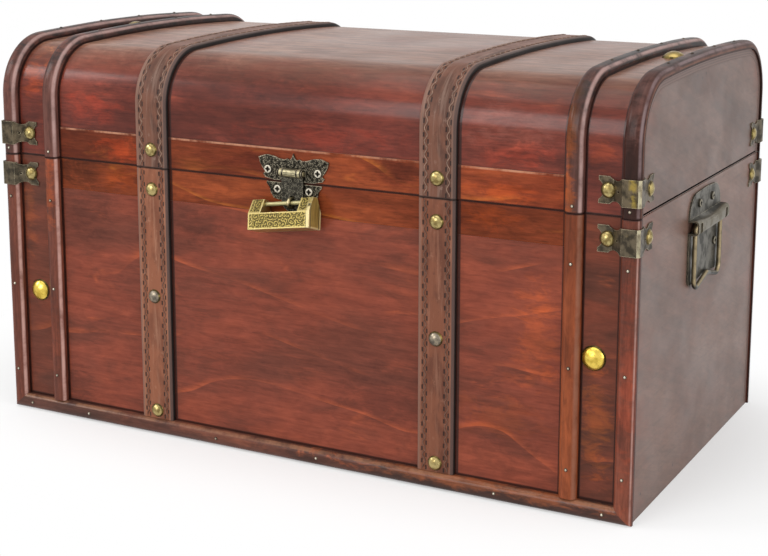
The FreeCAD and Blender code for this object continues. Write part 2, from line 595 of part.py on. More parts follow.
def make_handles():
    half = HANDLE_W / 2
    outline = [V(0, -half, HANDLE_Z1 - 1.5), V(0, 0, HANDLE_Z1), V(0, half, HANDLE_Z1 - 1.5),
               V(0, half, HANDLE_Z0), V(0, 0, HANDLE_Z0 + 2.5), V(0, -half, HANDLE_Z0)]
    radii = [HANDLE_TOP_R, HANDLE_BOW_R, HANDLE_TOP_R, HANDLE_LOW_R, 3.0, HANDLE_LOW_R]
    plate = Part.Face(round_wire(outline, radii)).extrude(V(PLATE_T, 0, 0))
    plate = fuse([plate, channel(PLATE_T, 0, 3.0)]).cut(channel(0, -1, 2.0))
    # the bail's legs leave the channel through a slot near each end
    low = CHANNEL_Z - CHANNEL_H / 2 - 0.5
    for side in (-1, 1):
        y = side * BAIL_HALF
        plate = plate.cut(box(PLATE_T + 0.1, CHANNEL_OUT + 1, y - BAIL_SLOT / 2, y + BAIL_SLOT / 2,
                              low, CHANNEL_Z + 3.0))
    # a closed wire bail: bar in the channel, two legs, and a bottom with an upward cusp
    drop = CHANNEL_Z - BAIL_DROP
    loop = [V(BAIL_AXIS_OUT, -BAIL_HALF, CHANNEL_Z), V(BAIL_AXIS_OUT, BAIL_HALF, CHANNEL_Z),
            V(BAIL_AXIS_OUT, BAIL_HALF, drop), V(BAIL_AXIS_OUT, 0, drop + BAIL_CUSP),
            V(BAIL_AXIS_OUT, -BAIL_HALF, drop)]
    path = round_wire(loop, [3.5, 3.5, 6.0, 2.2, 6.0])
    start = path.Edges[1].valueAt(path.Edges[1].FirstParameter)
    ring = Part.Wire(Part.makeCircle(BAIL_R, start, path.Edges[1].tangentAt(path.Edges[1].FirstParameter)))
    order = Part.Wire(path.Edges[1:] + path.Edges[:1])
    bail = order.makePipeShell([ring], True, True)
    screw = cross_screw()
    screws = [place(screw, V(PLATE_T, side * y, z), X) for y, z in HANDLE_SCREWS for side in (-1, 1)]
    plate = plate.cut(screws).Solids[0]
    everything = []
    for shape in [plate, bail] + screws:
        shape.translate(V(END_X, 0, 0))
        everything.append(shape)
    parts["handle_plate_right"], parts["handle_plate_left"] = everything[0], flip_x(everything[0])
    parts["handle_bail_right"], parts["handle_bail_left"] = everything[1], flip_x(everything[1])
    group("handle_screws", everything[2:] + [flip_x(s) for s in everything[2:]])


# ---- assembly ------------------------------------------------------------------------------

def main():
    make_base_case()
    make_lid_case()
    make_trim()
    make_straps()
    make_domes(make_brackets())
    screws = make_hasp(make_hinges())
    group("base_screws", screws["base"])
    group("lid_screws", screws["lid"])
    make_padlock()
    make_handles()

    fixings = ("_dome_nails", "_bosses", "_pins", "_screws", "_brackets")
    for half in ("base", "lid"):
        fasteners = [s for kind in fixings[:4] for s in parts[half + kind].Solids]
        if half == "base":
            fasteners += parts["handle_screws"].Solids
        hosts = [n for n in parts if n.startswith(half) and not n.endswith(fixings)]
        hosts += ["hinge_%s_leaves" % half, "hasp_upper_plate" if half == "lid" else "hasp_lower_plate"]
        drive(fasteners, hosts)

    os.makedirs("parts", exist_ok=True)
    for name, shape in sorted(parts.items()):
        solids = shape.Solids
        print("%-26s solids %3d  valid %s  volume %10.1f" % (name, len(solids), shape.isValid(), shape.Volume))
        shape.exportStep("parts/%s.step" % name)
    total = Part.makeCompound(list(parts.values())).BoundBox
    print("%d nodes, box %.1f x %.1f x %.1f" % (len(parts), total.XLength, total.YLength, total.ZLength))


main()
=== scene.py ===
"""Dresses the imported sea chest: lacquered veneer boards, bent half-round trim, stitched straps,
corner brackets, nails, hinges, a butterfly hasp with its sliding-bar padlock, and drop handles."""

from __future__ import annotations

import json
import logging
import math
from dataclasses import dataclass, replace
from enum import Enum
from typing import Optional, Sequence

import bmesh
import bpy
import numpy as np
from mathutils import Matrix

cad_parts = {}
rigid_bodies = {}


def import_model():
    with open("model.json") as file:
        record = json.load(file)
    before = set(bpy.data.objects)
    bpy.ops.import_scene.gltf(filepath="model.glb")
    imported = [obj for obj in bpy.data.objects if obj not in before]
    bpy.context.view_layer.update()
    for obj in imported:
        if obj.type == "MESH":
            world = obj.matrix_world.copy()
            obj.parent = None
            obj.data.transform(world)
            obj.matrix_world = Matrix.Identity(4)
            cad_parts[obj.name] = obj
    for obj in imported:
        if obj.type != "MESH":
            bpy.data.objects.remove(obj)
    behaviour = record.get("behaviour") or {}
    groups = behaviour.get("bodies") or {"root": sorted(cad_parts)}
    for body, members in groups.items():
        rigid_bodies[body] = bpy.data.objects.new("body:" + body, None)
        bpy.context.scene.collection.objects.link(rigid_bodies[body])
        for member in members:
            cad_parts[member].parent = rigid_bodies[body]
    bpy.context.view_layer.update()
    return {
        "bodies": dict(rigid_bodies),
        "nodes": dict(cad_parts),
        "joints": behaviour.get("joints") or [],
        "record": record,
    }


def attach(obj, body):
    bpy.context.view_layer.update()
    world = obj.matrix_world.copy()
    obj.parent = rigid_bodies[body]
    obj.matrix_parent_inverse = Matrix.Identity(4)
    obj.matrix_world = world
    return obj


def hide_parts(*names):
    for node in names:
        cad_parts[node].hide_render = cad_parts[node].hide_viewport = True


LOG = logging.getLogger("sea_chest")
Array = np.ndarray
Colour = tuple[float, float, float]
Node = bpy.types.Node
Socket = bpy.types.NodeSocket

MM = 0.001
X, Y, Z = np.eye(3)
SIDES = (("front", -1), ("back", 1))
HANDS = (("left", -1), ("right", 1))
STITCH_LINE, STITCH_PITCH, STITCH_DIP = 7.8, 8.3, 0.28
# Spans of z painted dark as shade: the seam between lid and base, and the crease over the foot mouldings.
SEAM_SHADE = (0.1902, 0.1919)
MOULDING_SHADE = (0.0100, 0.0124)
SMOOTH_ANGLE, EASE_ANGLE = math.radians(38), math.radians(32)
WELD = 2e-6


class Body(Enum):
    """Moving bodies of the chest that a piece can ride on."""

    BASE = "base"
    LID = "lid"
    TONGUE = "tongue"
    PADLOCK = "padlock"
    BAR = "padlock_bar"
    LEFT_BAIL = "left_bail"
    RIGHT_BAIL = "right_bail"


class Slot(Enum):
    """Material slots of the record."""

    VENEER = "lacquered_wood"
    END = "end_wood"
    TRIM = "trim_wood"
    PLAIN = "plain_wood"
    STRAP = "strap_leather"
    BRONZE = "antique_bronze"
    WORN = "worn_brass"
    NAIL = "nail_brass"
    LOCK = "lock_brass"
    STEEL = "lock_steel"


@dataclass(frozen=True)
class Chest:
    """Sizes of the case, in millimetres, that every sub-assembly is laid out from."""

    width: float = 480.0
    depth: float = 270.0
    top: float = 272.0
    seam: float = 191.0
    gap: float = 0.2
    skin_y: float = 129.0
    skin_t: float = 5.0
    end_x: float = 238.5
    end_t: float = 9.0
    floor_t: float = 6.0
    corner_r: float = 36.0
    crown_r: float = 1800.0
    trim_w: float = 12.0
    trim_proud: float = 6.0
    trim_round: float = 4.6
    foot_h: float = 11.0
    hoop_x: float = 198.0
    rail_h: float = 22.0
    rail_t: float = 9.0
    strap_x: tuple[float, float] = (-110.88, 107.04)
    strap_w: float = 26.0
    strap_t: float = 3.2
    relief_h: float = 3.0
    relief_out: float = 3.7

    @property
    def rail_x(self) -> float:
        """Half length of the rails, which end against the inner hoops."""
        return self.hoop_x - self.trim_w / 2

    @property
    def lid_low(self) -> float:
        """Height of the lid's lower edge."""
        return self.seam + self.gap

    @property
    def base_high(self) -> float:
        """Height of the base's upper edge."""
        return self.seam - self.gap


# ---- curves and profiles ----------------------------------------------------------------------


def unit(vectors: Array) -> Array:
    """Vectors, one in each row, brought to length one."""
    return vectors / np.linalg.norm(vectors, axis=-1, keepdims=True)


def arc(start: float, stop: float, count: int) -> Array:
    """Cosine and sine of angles evenly spaced from start to stop."""
    turn = np.linspace(start, stop, count)
    return np.stack([np.cos(turn), np.sin(turn)], axis=1)


@dataclass
class Track:
    """A line that a profile is carried along, with its two cross directions at each point."""

    points: Array
    across: Array
    out: Array

    @property
    def length(self) -> Array:
        """Distance run along the line up to each of its points."""
        steps = np.linalg.norm(np.diff(self.points, axis=0), axis=1)
        return np.concatenate([[0.0], np.cumsum(steps)])

    @staticmethod
    def straight(start: Sequence[float], stop: Sequence[float], across: Array, out: Array,
                 marks: Sequence[float]) -> Track:
        """Straight line from start to stop, sampled at the given shares of its length."""
        shares = np.asarray(marks, float)[:, None]
        points = np.asarray(start, float) * (1 - shares) + np.asarray(stop, float) * shares
        ones = np.ones((len(points), 1))
        return Track(points, ones * across, ones * out)

    @staticmethod
    def over_lid(chest: Chest, low: float, fine: int = 26) -> Track:
        """Line over the lid in the YZ plane, from the front foot to the back foot.

        An upright foot, a quarter round of corner_r, a slow crown of crown_r that meets both
        corners tangentially, then the mirrored corner and foot. The out direction is the
        radius of whichever arc the point is on.

        Args:
            chest: the sizes of the case.
            low: height at which the line starts and ends.
            fine: points on each corner.

        Returns:
            The track, with X as its across direction.
        """
        corner_y = chest.skin_y - chest.corner_r
        crown_z = chest.top - chest.crown_r
        corner_z = crown_z + math.sqrt((chest.crown_r - chest.corner_r) ** 2 - corner_y ** 2)
        lean = math.atan2(corner_y, corner_z - crown_z)
        corner, flip = arc(0.0, math.pi / 2 - lean, fine), [-1.0, 1.0]
        crown = arc(-lean, lean, 34)[1:-1, ::-1]
        relief = low + chest.relief_h
        heights = np.concatenate([[low, low + 0.5, relief, relief + 0.01],
                                  np.linspace(relief + 2, corner_z, 8)[:-1]])
        foot = np.stack([np.full(len(heights), chest.skin_y), heights], axis=1)
        bend = corner * chest.corner_r + [corner_y, corner_z]
        yz = np.concatenate([foot * flip, bend * flip, crown * chest.crown_r + [0.0, crown_z],
                             bend[::-1], foot[::-1]])
        side = np.tile([1.0, 0.0], (len(foot), 1))
        normal = np.concatenate([-side, corner * flip, crown, corner[::-1], side])
        zero = np.zeros((len(yz), 1))
        return Track(np.hstack([zero, yz]), np.tile(X, (len(yz), 1)), np.hstack([zero, normal]))

    @staticmethod
    def loop(corners: Array, radii: Sequence[float], normal: Array, fine: int = 10) -> Track:
        """Closed flat line through corners, each corner replaced by an arc of its own radius.

        An arc's point is its centre plus a blend of its first and last radius, weighted by the
        sines of the angles that are left and done.

        Args:
            corners: (N, 3) points of the sharp line.
            radii: radius at each corner.
            normal: direction square to the line's plane.
            fine: points on each arc.

        Returns:
            The track, with the plane's normal as its out direction.
        """
        before, after = (unit(np.roll(corners, way, axis=0) - corners) for way in (1, -1))
        half = np.arccos(np.clip((before * after).sum(1), -1, 1)) / 2
        radii = np.asarray(radii, float)
        centre = corners + unit(before + after) * (radii / np.sin(half))[:, None]
        start, stop = (corners + way * (radii / np.tan(half))[:, None] - centre for way in (before, after))
        share = np.linspace(0, 1, fine)[None, :, None]
        angle = (math.pi - 2 * half)[:, None, None]
        arcs = np.sin((1 - share) * angle) * start[:, None] + np.sin(share * angle) * stop[:, None]
        points = (centre[:, None] + arcs / np.sin(angle)).reshape(-1, 3)
        ahead = unit(np.roll(points, -1, axis=0) - np.roll(points, 1, axis=0))
        return Track(points, np.cross(ahead, normal), np.tile(normal, (len(points), 1)))


@dataclass
class Profile:
    """Closed outline carried along a track: x is across it and y out of it.

    Each segment has its own run of surface coordinate v and its own finish number.
    """

    points: Array
    runs: Array
    finish: Array

    @staticmethod
    def around(points: Array) -> Profile:
        """Outline whose v is the distance run round it, nought at half way."""
        steps = np.linalg.norm(np.roll(points, -1, axis=0) - points, axis=1)
        stops = np.cumsum(steps)
        runs = np.stack([stops - steps, stops], axis=1) - stops[-1] / 2
        return Profile(points, runs, np.zeros(len(points), int))

    @staticmethod
    def flat_backed(width: float, edge: Array, face: Sequence[Array] = ()) -> Profile:
        """Outline on a flat back: the right edge, the face, then the mirrored edge."""
        return Profile.around(np.vstack([[[0, 0], [width / 2, 0]], edge, *face, (edge * [-1, 1])[::-1],
                                         [[-width / 2, 0]]]))

    @staticmethod
    def circle(radius: float, count: int = 14) -> Profile:
        """Round outline for wires."""
        return Profile.around(arc(0.0, 2 * math.pi, count + 1)[:-1] * radius)

    @staticmethod
    def half_round(width: float, proud: float, radius: float) -> Profile:
        """Flat-backed outline with its two outer edges rounded to radius."""
        return Profile.flat_backed(width, [width / 2 - radius, proud - radius]
                                   + radius * arc(0.0, math.pi / 2, 9))

    @staticmethod
    def strap(width: float, thick: float, soft: float = 2.2, drop: float = 1.7) -> Profile:
        """Strap outline: rounded edges, a flat border and a shallow stitched channel each side.

        The face height is the thickness less a bell-shaped dip centred on each stitch line.
        The edges are quarter ellipses, soft wide and drop high.
        """
        x = np.linspace(width / 2 - soft, soft - width / 2, 49)
        dip = STITCH_DIP * np.exp(-((np.abs(x) - STITCH_LINE) / 1.4) ** 2)
        edge = [width / 2 - soft, thick - drop] + [soft, drop] * arc(0.0, math.pi / 2, 7)[:-1]
        return Profile.flat_backed(width, edge, [np.stack([x, thick - dip], axis=1)])

    @staticmethod
    def sheet(x0: float, x1: float, thick: float, radius: float = 0.35, face: int = 0) -> Profile:
        """Sheet outline from x0 to x1, its outer face at nought and its inner face at -thick.

        The outer face has the given finish with v equal to x, the two edges are finish 1 with v
        equal to the depth below the outer face, and the inner face is finish 2.
        """
        turn = arc(0.0, math.pi / 2, 4)
        right = [x1 - radius, -radius] + radius * turn
        left = [x0 + radius, -radius] + radius * turn[:, ::-1] * [-1, 1]
        points = np.vstack([[[x0 + 1, -thick], [x1 - 1, -thick], [x1, -thick]], right,
                            [[x1 - 1.5, 0], [x0 + 1.5, 0]], left, [[x0, -thick]]])
        following = np.roll(points, -1, axis=0)
        edge = np.abs(points[:, 0] - following[:, 0]) < 1e-6
        inner = np.maximum(points[:, 1], following[:, 1]) < -thick + 1e-6
        runs = np.stack([points[:, 0], following[:, 0]], axis=1)
        runs[edge] = -np.stack([points[:, 1], following[:, 1]], axis=1)[edge]
        return Profile(points, runs, np.where(edge, 1, np.where(inner, 2, face)))


# ---- meshes -----------------------------------------------------------------------------------


class Skin:
    """Gathers surfaces given in millimetres and makes one piece of them."""

    def __init__(self, name: str) -> None:
        """Starts an empty piece with a name."""
        self.name = name
        self.points: list[Array] = []
        self.faces: list[list[int]] = []
        self.corners: list[Array] = []
        self.slots: list[Array] = []
        self.size = 0

    def grid(self, points: Array, along: Optional[Array] = None, runs: Optional[Array] = None,
             finish: Optional[Array] = None, wrap_u: bool = False, wrap_v: bool = True) -> None:
        """Covers a (U, V) grid of points with quads, and closes an open tube with flat ends.

        Args:
            points: array of shape (U, V, 3).
            along: u coordinate of each row.
            runs: start and stop of the v coordinate on each column's quad.
            finish: finish number of each column.
            wrap_u: closes the last row to the first.
            wrap_v: closes the last column to the first.
        """
        rows, cols = points.shape[:2]
        index = self.size + np.arange(rows * cols).reshape(rows, cols)
        if wrap_u:
            index = np.vstack([index, index[:1]])
        if wrap_v:
            index = np.hstack([index, index[:, :1]])
        quads = np.stack([index[:-1, :-1], index[1:, :-1], index[1:, 1:], index[:-1, 1:]], axis=-1)
        up, over = quads.shape[:2]
        if along is None:
            steps = np.linalg.norm(np.diff(points.mean(axis=1), axis=0), axis=1)
            along = np.concatenate([[0.0], np.cumsum(steps), [np.sum(steps) + 1.0]])
        if runs is None:
            steps = np.linalg.norm(np.roll(points, -1, axis=1) - points, axis=2).mean(axis=0)
            runs = np.stack([np.cumsum(steps) - steps, np.cumsum(steps)], axis=1)
        low, high = along[:up], along[1:up + 1]
        uv = np.empty((up, over, 4, 2))
        uv[..., 0] = np.stack([low, high, high, low], axis=-1)[:, None]
        uv[..., 1] = runs[None, :over][..., [0, 0, 1, 1]]
        self.points.append(points.reshape(-1, 3))
        self.faces.extend(quads.reshape(-1, 4).tolist())
        self.corners.append(uv.reshape(-1, 2))
        self.slots.append(np.tile(np.zeros(over, int) if finish is None else finish[:over], up))
        for row in (0, -1) if wrap_v and not wrap_u else ():
            self.faces.append(index[row, :cols].tolist())
            self.corners.append(np.full((cols, 2), 0.5))
            self.slots.append(np.array([int(finish is not None and finish.any())]))
        self.size += rows * cols

    def sweep(self, track: Track, profile: Profile, shift: float = 0.0, limit: Optional[Array] = None,
              slip: Optional[tuple[Array, Array]] = None, closed: bool = False,
              start: float = 0.0, wander: float = 0.0) -> None:
        """Carries a profile along a track.

        A surface point is the track point plus its profile x times the across direction plus
        its profile y times the out direction.

        Args:
            track: the line to follow.
            profile: the closed outline to carry.
            shift: added to every profile x.
            limit: highest profile y allowed on each row.
            slip: moves of the first and last row along the line, for each profile point.
            closed: joins the end of the track to its start.
            start: added to the u coordinate, so that equal pieces don't show equal grain.
            wander: most that the outer half of the profile is drawn in by a slow ripple.
        """
        across = profile.points[:, 0] + shift
        out = np.tile(profile.points[:, 1], (len(track.points), 1))
        if wander:
            run = track.length[:, None] + start
            ripple = 0.5 + 0.25 * np.sin(run / 23.0 + shift) + 0.25 * np.sin(run / 11.3 + 2 * shift)
            out = out - wander * ripple * (out > 0.5 * out.max())
        if limit is not None:
            out = np.minimum(out, limit[:, None])
        points = (track.points[:, None] + across[None, :, None] * track.across[:, None]
                  + out[..., None] * track.out[:, None])
        if slip is not None:
            ahead = unit(track.points[-1] - track.points[0])
            points[0] += slip[0][:, None] * ahead
            points[-1] += slip[1][:, None] * ahead
        along = track.length + start
        if closed:
            along = np.append(along, along[-1] + np.linalg.norm(track.points[0] - track.points[-1]))
        self.grid(points, along, profile.runs, profile.finish, wrap_u=closed)

    def lathe(self, centre: Sequence[float], axis: Array, outline: Array, count: int = 32,
              edge: float = 0.0) -> None:
        """Turns an outline round an axis.

        A surface point is the centre plus the height along the axis plus the radius times a
        unit vector that goes once round the axis.

        Args:
            centre: where the outline's origin lies.
            axis: unit direction of height.
            outline: (radius, height) pairs.
            count: steps round the axis.
            edge: share of the greatest radius beyond which the surface takes finish 1.
        """
        side = unit(np.cross(axis, X if abs(axis[0]) < 0.9 else Y))
        ring = arc(0.0, 2 * math.pi, count + 1)[:-1] @ np.stack([side, np.cross(axis, side)])
        points = centre + outline[:, 1, None, None] * axis + outline[:, 0, None, None] * ring
        middle = (outline[1:, 0] + outline[:-1, 0]) / 2
        rim = (middle > edge * outline[:, 0].max()).astype(int) if edge else None
        self.grid(points.transpose(1, 0, 2)[::-1], finish=rim, wrap_u=True, wrap_v=False)

    def stack(self, outline: Array, levels: Sequence[tuple[float, float]], centre: Sequence[float],
              right: Array, up: Array, out: Array) -> None:
        """Builds a plate from copies of a closed outline, one for each level.

        A ring point is the outline point moved inward along its own normal by the level's
        inset, and out of the plane by the level's height; flat faces close both ends.

        Args:
            outline: (N, 2) points, counter-clockwise as seen from the out side.
            levels: (inset, height) pairs from the back to the front.
            centre: where the outline's origin lies.
            right: direction of the outline's first coordinate.
            up: direction of its second coordinate.
            out: direction of height.
        """
        ahead = unit(np.roll(outline, -1, axis=0) - np.roll(outline, 1, axis=0))
        inward = np.stack([-ahead[:, 1], ahead[:, 0]], axis=1)
        inset, height = np.asarray(levels, float).T[..., None, None]
        flat = outline + inset * inward
        self.grid(centre + flat[..., :1] * right + flat[..., 1:] * up + height * out)

    def board(self, low: Sequence[float], high: Sequence[float], out: Array, radius: float = 0.4) -> None:
        """Flat board built up from rounded rectangles, inset near both faces along a quarter circle.

        Args:
            low: its lowest corner.
            high: its highest corner.
            out: unit direction in which it is built up.
            radius: radius of its eased edges and corners.
        """
        low, high = np.asarray(low, float), np.asarray(high, float)
        right, up = np.eye(3)[np.abs(out) < 0.5]
        if np.cross(right, up) @ out < 0:
            right, up = up, right
        half = ((high - low) / 2) @ np.abs(np.stack([right, up, out])).T
        bend, spin = arc(0.0, math.pi / 2, 4), np.array([[0.0, 1.0], [-1.0, 0.0]])
        ease = [(radius * (1 - sine), radius * (1 - cosine) - half[2]) for cosine, sine in bend[::-1]]
        levels = [(1.6, -half[2]), *ease[::-1], *[(inset, -height) for inset, height in ease], (1.6, half[2])]
        rings = []
        for inset, height in levels:
            flat = np.vstack([(side - max(inset, radius) + bend * max(radius - inset, 0.0))
                              @ np.linalg.matrix_power(spin, turn)
                              for turn, side in enumerate([half[:2], half[1::-1]] * 2)])
            rings.append((low + high) / 2 + flat[:, :1] * right + flat[:, 1:] * up + height * out)
        self.grid(np.stack(rings))

    def piece(self, finishes: Sequence[Finish], body: Body, slot: Slot,
              replaces: Sequence[str] = ()) -> None:
        """Makes the Blender object and settles it; settle says what the arguments are."""
        mesh = bpy.data.meshes.new(self.name)
        mesh.from_pydata((np.vstack(self.points) * MM).tolist(), [], self.faces)
        layer = mesh.uv_layers.new(name="Lay")
        layer.data.foreach_set("uv", (np.vstack(self.corners) * MM).astype(np.float32).ravel())
        mesh.polygons.foreach_set("material_index", np.concatenate(self.slots).astype(np.int32))
        sculpt = bmesh.new()
        sculpt.from_mesh(mesh)
        bmesh.ops.remove_doubles(sculpt, verts=sculpt.verts, dist=0.1 * WELD)
        bmesh.ops.recalc_face_normals(sculpt, faces=sculpt.faces)
        sculpt.to_mesh(mesh)
        sculpt.free()
        mesh.shade_smooth()
        mesh.set_sharp_from_angle(angle=SMOOTH_ANGLE)
        settle(self.name, mesh, finishes, body, replaces)


def settle(name: str, mesh: bpy.types.Mesh, finishes: Sequence[Finish], body: Body,
           replaces: Sequence[str] = ()) -> bpy.types.Object:
    """Makes a piece of a mesh, gives it its finishes and lets it ride on its body.

    Args:
        name: the piece's name.
        mesh: its mesh.
        finishes: one finish for each finish number used.
        body: the moving body that the piece rides on.
        replaces: CAD nodes that the piece stands for.

    Returns:
        The new object.
    """
    piece = bpy.data.objects.new(name, mesh)
    bpy.context.scene.collection.objects.link(piece)
    if mesh.materials:
        mesh.materials.clear()
    for finish in finishes:
        mesh.materials.append(finish.material())
    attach(piece, body.value)
    if replaces:
        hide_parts(*replaces)
    LOG.info("%s: %d points, %d faces", name, len(mesh.vertices), len(mesh.polygons))
    return piece


@dataclass(frozen=True)
class Channel:
    """Hollow of a handle plate's rolled channel, in metres.

    Its upper outer part sinks by the dip times one less the square of y over the channel's
    half length, so that it rises toward both ends.
    """

    dip: float = 0.0022
    inner_x: float = 0.2412
    half: float = 0.028
    low: float = 0.1675
    rise: float = 0.003

    def cut(self, sculpt: bmesh.types.BMesh) -> None:
        """Cuts the channel across, so that it has points to sink."""
        reach = self.half - MM
        for y in np.linspace(-reach, reach, 19):
            parts = sculpt.verts[:] + sculpt.edges[:] + sculpt.faces[:]
            bmesh.ops.bisect_plane(sculpt, geom=parts, plane_co=(0, y, 0), plane_no=Y, dist=1e-7)

    def sink(self, mesh: bpy.types.Mesh) -> None:
        """Sinks the channel's top."""
        spots = np.empty(len(mesh.vertices) * 3)
        mesh.vertices.foreach_get("co", spots)
        spots = spots.reshape(-1, 3)
        x, y, z = spots.T
        share = np.clip((z - self.low) / self.rise, 0.0, 1.0) * (np.abs(x) > self.inner_x)
        spots[:, 2] -= self.dip * share * np.clip(1.0 - (y / self.half) ** 2, 0.0, 1.0)
        mesh.vertices.foreach_set("co", spots.ravel())


def refined(frame: dict, node: str, finish: Finish, body: Body, bevel: float,
            segments: int = 2, channel: Optional[Channel] = None) -> None:
    """Copies a CAD node with its points merged, flat faces joined and edges eased.

    Args:
        frame: the loaded frame.
        node: the CAD node that is copied and replaced.
        finish: the finish of the copy.
        body: the moving body that the copy rides on.
        bevel: width of the eased edges, in millimetres.
        segments: steps across an eased edge.
        channel: hollow to sink into the copy.
    """
    mesh, name = frame["nodes"][node].data.copy(), node + "_eased"
    mesh.name = name
    sculpt = bmesh.new()
    sculpt.from_mesh(mesh)
    bmesh.ops.remove_doubles(sculpt, verts=sculpt.verts, dist=WELD)
    bmesh.ops.dissolve_limit(sculpt, angle_limit=math.radians(0.6), verts=sculpt.verts, edges=sculpt.edges)
    if channel:
        channel.cut(sculpt)
    sculpt.to_mesh(mesh)
    sculpt.free()
    if channel:
        channel.sink(mesh)
    mesh.shade_smooth()
    mesh.set_sharp_from_angle(angle=EASE_ANGLE)
    piece = settle(name, mesh, [finish], body, [node])
    ease = piece.modifiers.new("Eased edges", "BEVEL")
    ease.width, ease.segments = bevel * MM, segments
    ease.limit_method, ease.angle_limit = "ANGLE", EASE_ANGLE
    ease.harden_normals = True


# ---- shader wiring ----------------------------------------------------------------------------


class Wiring:
    """Adds and joins shader nodes in one tree."""

    def __init__(self, tree: bpy.types.NodeTree) -> None:
        """Keeps the tree that the nodes go into."""
        self.tree = tree

    def add(self, kind: str, inputs: Optional[dict] = None, **settings: object) -> Node:
        """Adds a node, sets its properties, and sets or links its inputs by name or number."""
        node = self.tree.nodes.new(kind)
        for key, value in settings.items():
            setattr(node, key, value)
        return self.fill(node, inputs or {})

    def fill(self, node: Node, inputs: dict) -> Node:
        """Sets or links a node's inputs by name or number."""
        for key, value in inputs.items():
            self.feed(node.inputs[key], value)
        return node

    def feed(self, socket: Socket, value: object) -> None:
        """Links a socket to another socket, or sets its value."""
        if isinstance(value, Socket):
            self.tree.links.new(value, socket)
        elif isinstance(value, tuple) and len(value) == 3 and socket.type == "RGBA":
            socket.default_value = (*value, 1.0)
        else:
            socket.default_value = value

    def math(self, operation: str, a: object, b: object = 0.0, clamp: bool = False) -> Socket:
        """One arithmetic step on numbers."""
        return self.add("ShaderNodeMath", {0: a, 1: b}, operation=operation, use_clamp=clamp).outputs[0]

    def times(self, first: object, *factors: object) -> object:
        """Product of numbers."""
        for factor in factors:
            first = self.math("MULTIPLY", first, factor)
        return first

    def plus(self, a: object, b: object, clamp: bool = False) -> Socket:
        """Sum of two numbers."""
        return self.math("ADD", a, b, clamp)

    def minus(self, a: object, b: object, clamp: bool = False) -> Socket:
        """First number less the second."""
        return self.math("SUBTRACT", a, b, clamp)

    def most(self, a: object, b: object) -> Socket:
        """Larger of two numbers."""
        return self.math("MAXIMUM", a, b)

    def size(self, a: object) -> Socket:
        """A number without its sign."""
        return self.math("ABSOLUTE", a)

    def vector(self, operation: str, a: object, b: object = (0.0, 0.0, 0.0)) -> Socket:
        """One arithmetic step on vectors."""
        node = self.add("ShaderNodeVectorMath", {0: a, 1: b}, operation=operation)
        return node.outputs["Value" if operation in ("LENGTH", "DOT_PRODUCT") else "Vector"]

    def far(self, a: object, b: object = (0.0, 0.0, 0.0)) -> Socket:
        """Distance between two points."""
        return self.vector("LENGTH", self.vector("SUBTRACT", a, b))

    def coords(self, kind: str = "Object") -> Socket:
        """Texture coordinates of one kind."""
        return self.add("ShaderNodeTexCoord").outputs[kind]

    def stretch(self, vector: object, scale: tuple, move: tuple = (0.0, 0.0, 0.0),
                turn: tuple = (0.0, 0.0, 0.0), kind: str = "POINT") -> Socket:
        """Scales, turns and moves coordinates."""
        return self.add("ShaderNodeMapping", {"Vector": vector, "Scale": scale, "Location": move,
                                              "Rotation": turn}, vector_type=kind).outputs[0]

    def noise(self, vector: object, scale: float, detail: float = 3.0, rough: float = 0.55,
              bend: float = 0.0) -> Socket:
        """Cloud noise between nought and one."""
        return self.add("ShaderNodeTexNoise", {"Vector": vector, "Scale": scale, "Detail": detail,
                                               "Roughness": rough, "Distortion": bend}).outputs[0]

    def streaks(self, vector: object, along: float, across: float, detail: float = 3.0, rough: float = 0.55,
                bend: float = 0.0, move: tuple = (0.0, 0.0, 0.0), turn: float = 0.0) -> Socket:
        """Cloud noise of one scale along x and another across it, then turned about z and moved."""
        spot = self.stretch(vector, (along, across, across), move, (0.0, 0.0, turn))
        return self.noise(spot, 1.0, detail, rough, bend)

    def step(self, value: object, low: float, high: float, first: float = 0.0,
             last: float = 1.0) -> Socket:
        """Smooth step from first to last as the value goes from low to high."""
        return self.add("ShaderNodeMapRange", {0: value, 1: low, 2: high, 3: first, 4: last},
                        interpolation_type="SMOOTHSTEP").outputs[0]

    def mix(self, factor: object, a: object, b: object, blend: str = "MIX") -> Socket:
        """Blends two colours."""
        node = self.add("ShaderNodeMix", data_type="RGBA", blend_type=blend)
        return self.fill(node, {0: factor, 6: a, 7: b}).outputs[2]

    def lay(self, under: object, over: object, *masks: object, blend: str = "MIX") -> Socket:
        """Lays one colour over another, as far as the product of the masks."""
        return self.mix(self.times(*masks), under, over, blend)

    def shade(self, colour: object, tone: object) -> Socket:
        """Colour times a number."""
        return self.mix(1.0, colour, self.join(tone, tone, tone), "MULTIPLY")

    def split(self, vector: object) -> list[Socket]:
        """The three coordinates of a vector."""
        return list(self.add("ShaderNodeSeparateXYZ", {0: vector}).outputs)

    def join(self, x: object, y: object, z: object = 0.0) -> Socket:
        """A vector from three coordinates."""
        return self.add("ShaderNodeCombineXYZ", {0: x, 1: y, 2: z}).outputs[0]

    def bump(self, height: object, distance: float) -> Socket:
        """Normal of a surface raised by height times distance, in metres."""
        raised = self.add("ShaderNodeBump", {"Height": height, "Distance": distance, "Strength": 1.0})
        return raised.outputs[0]

    def seen(self) -> Socket:
        """One for a ray from the eye, also by way of metal or glass, and nought for the rest."""
        path = self.add("ShaderNodeLightPath").outputs
        return self.most(self.most(path["Is Camera Ray"], path["Is Glossy Ray"]), path["Is Transmission Ray"])


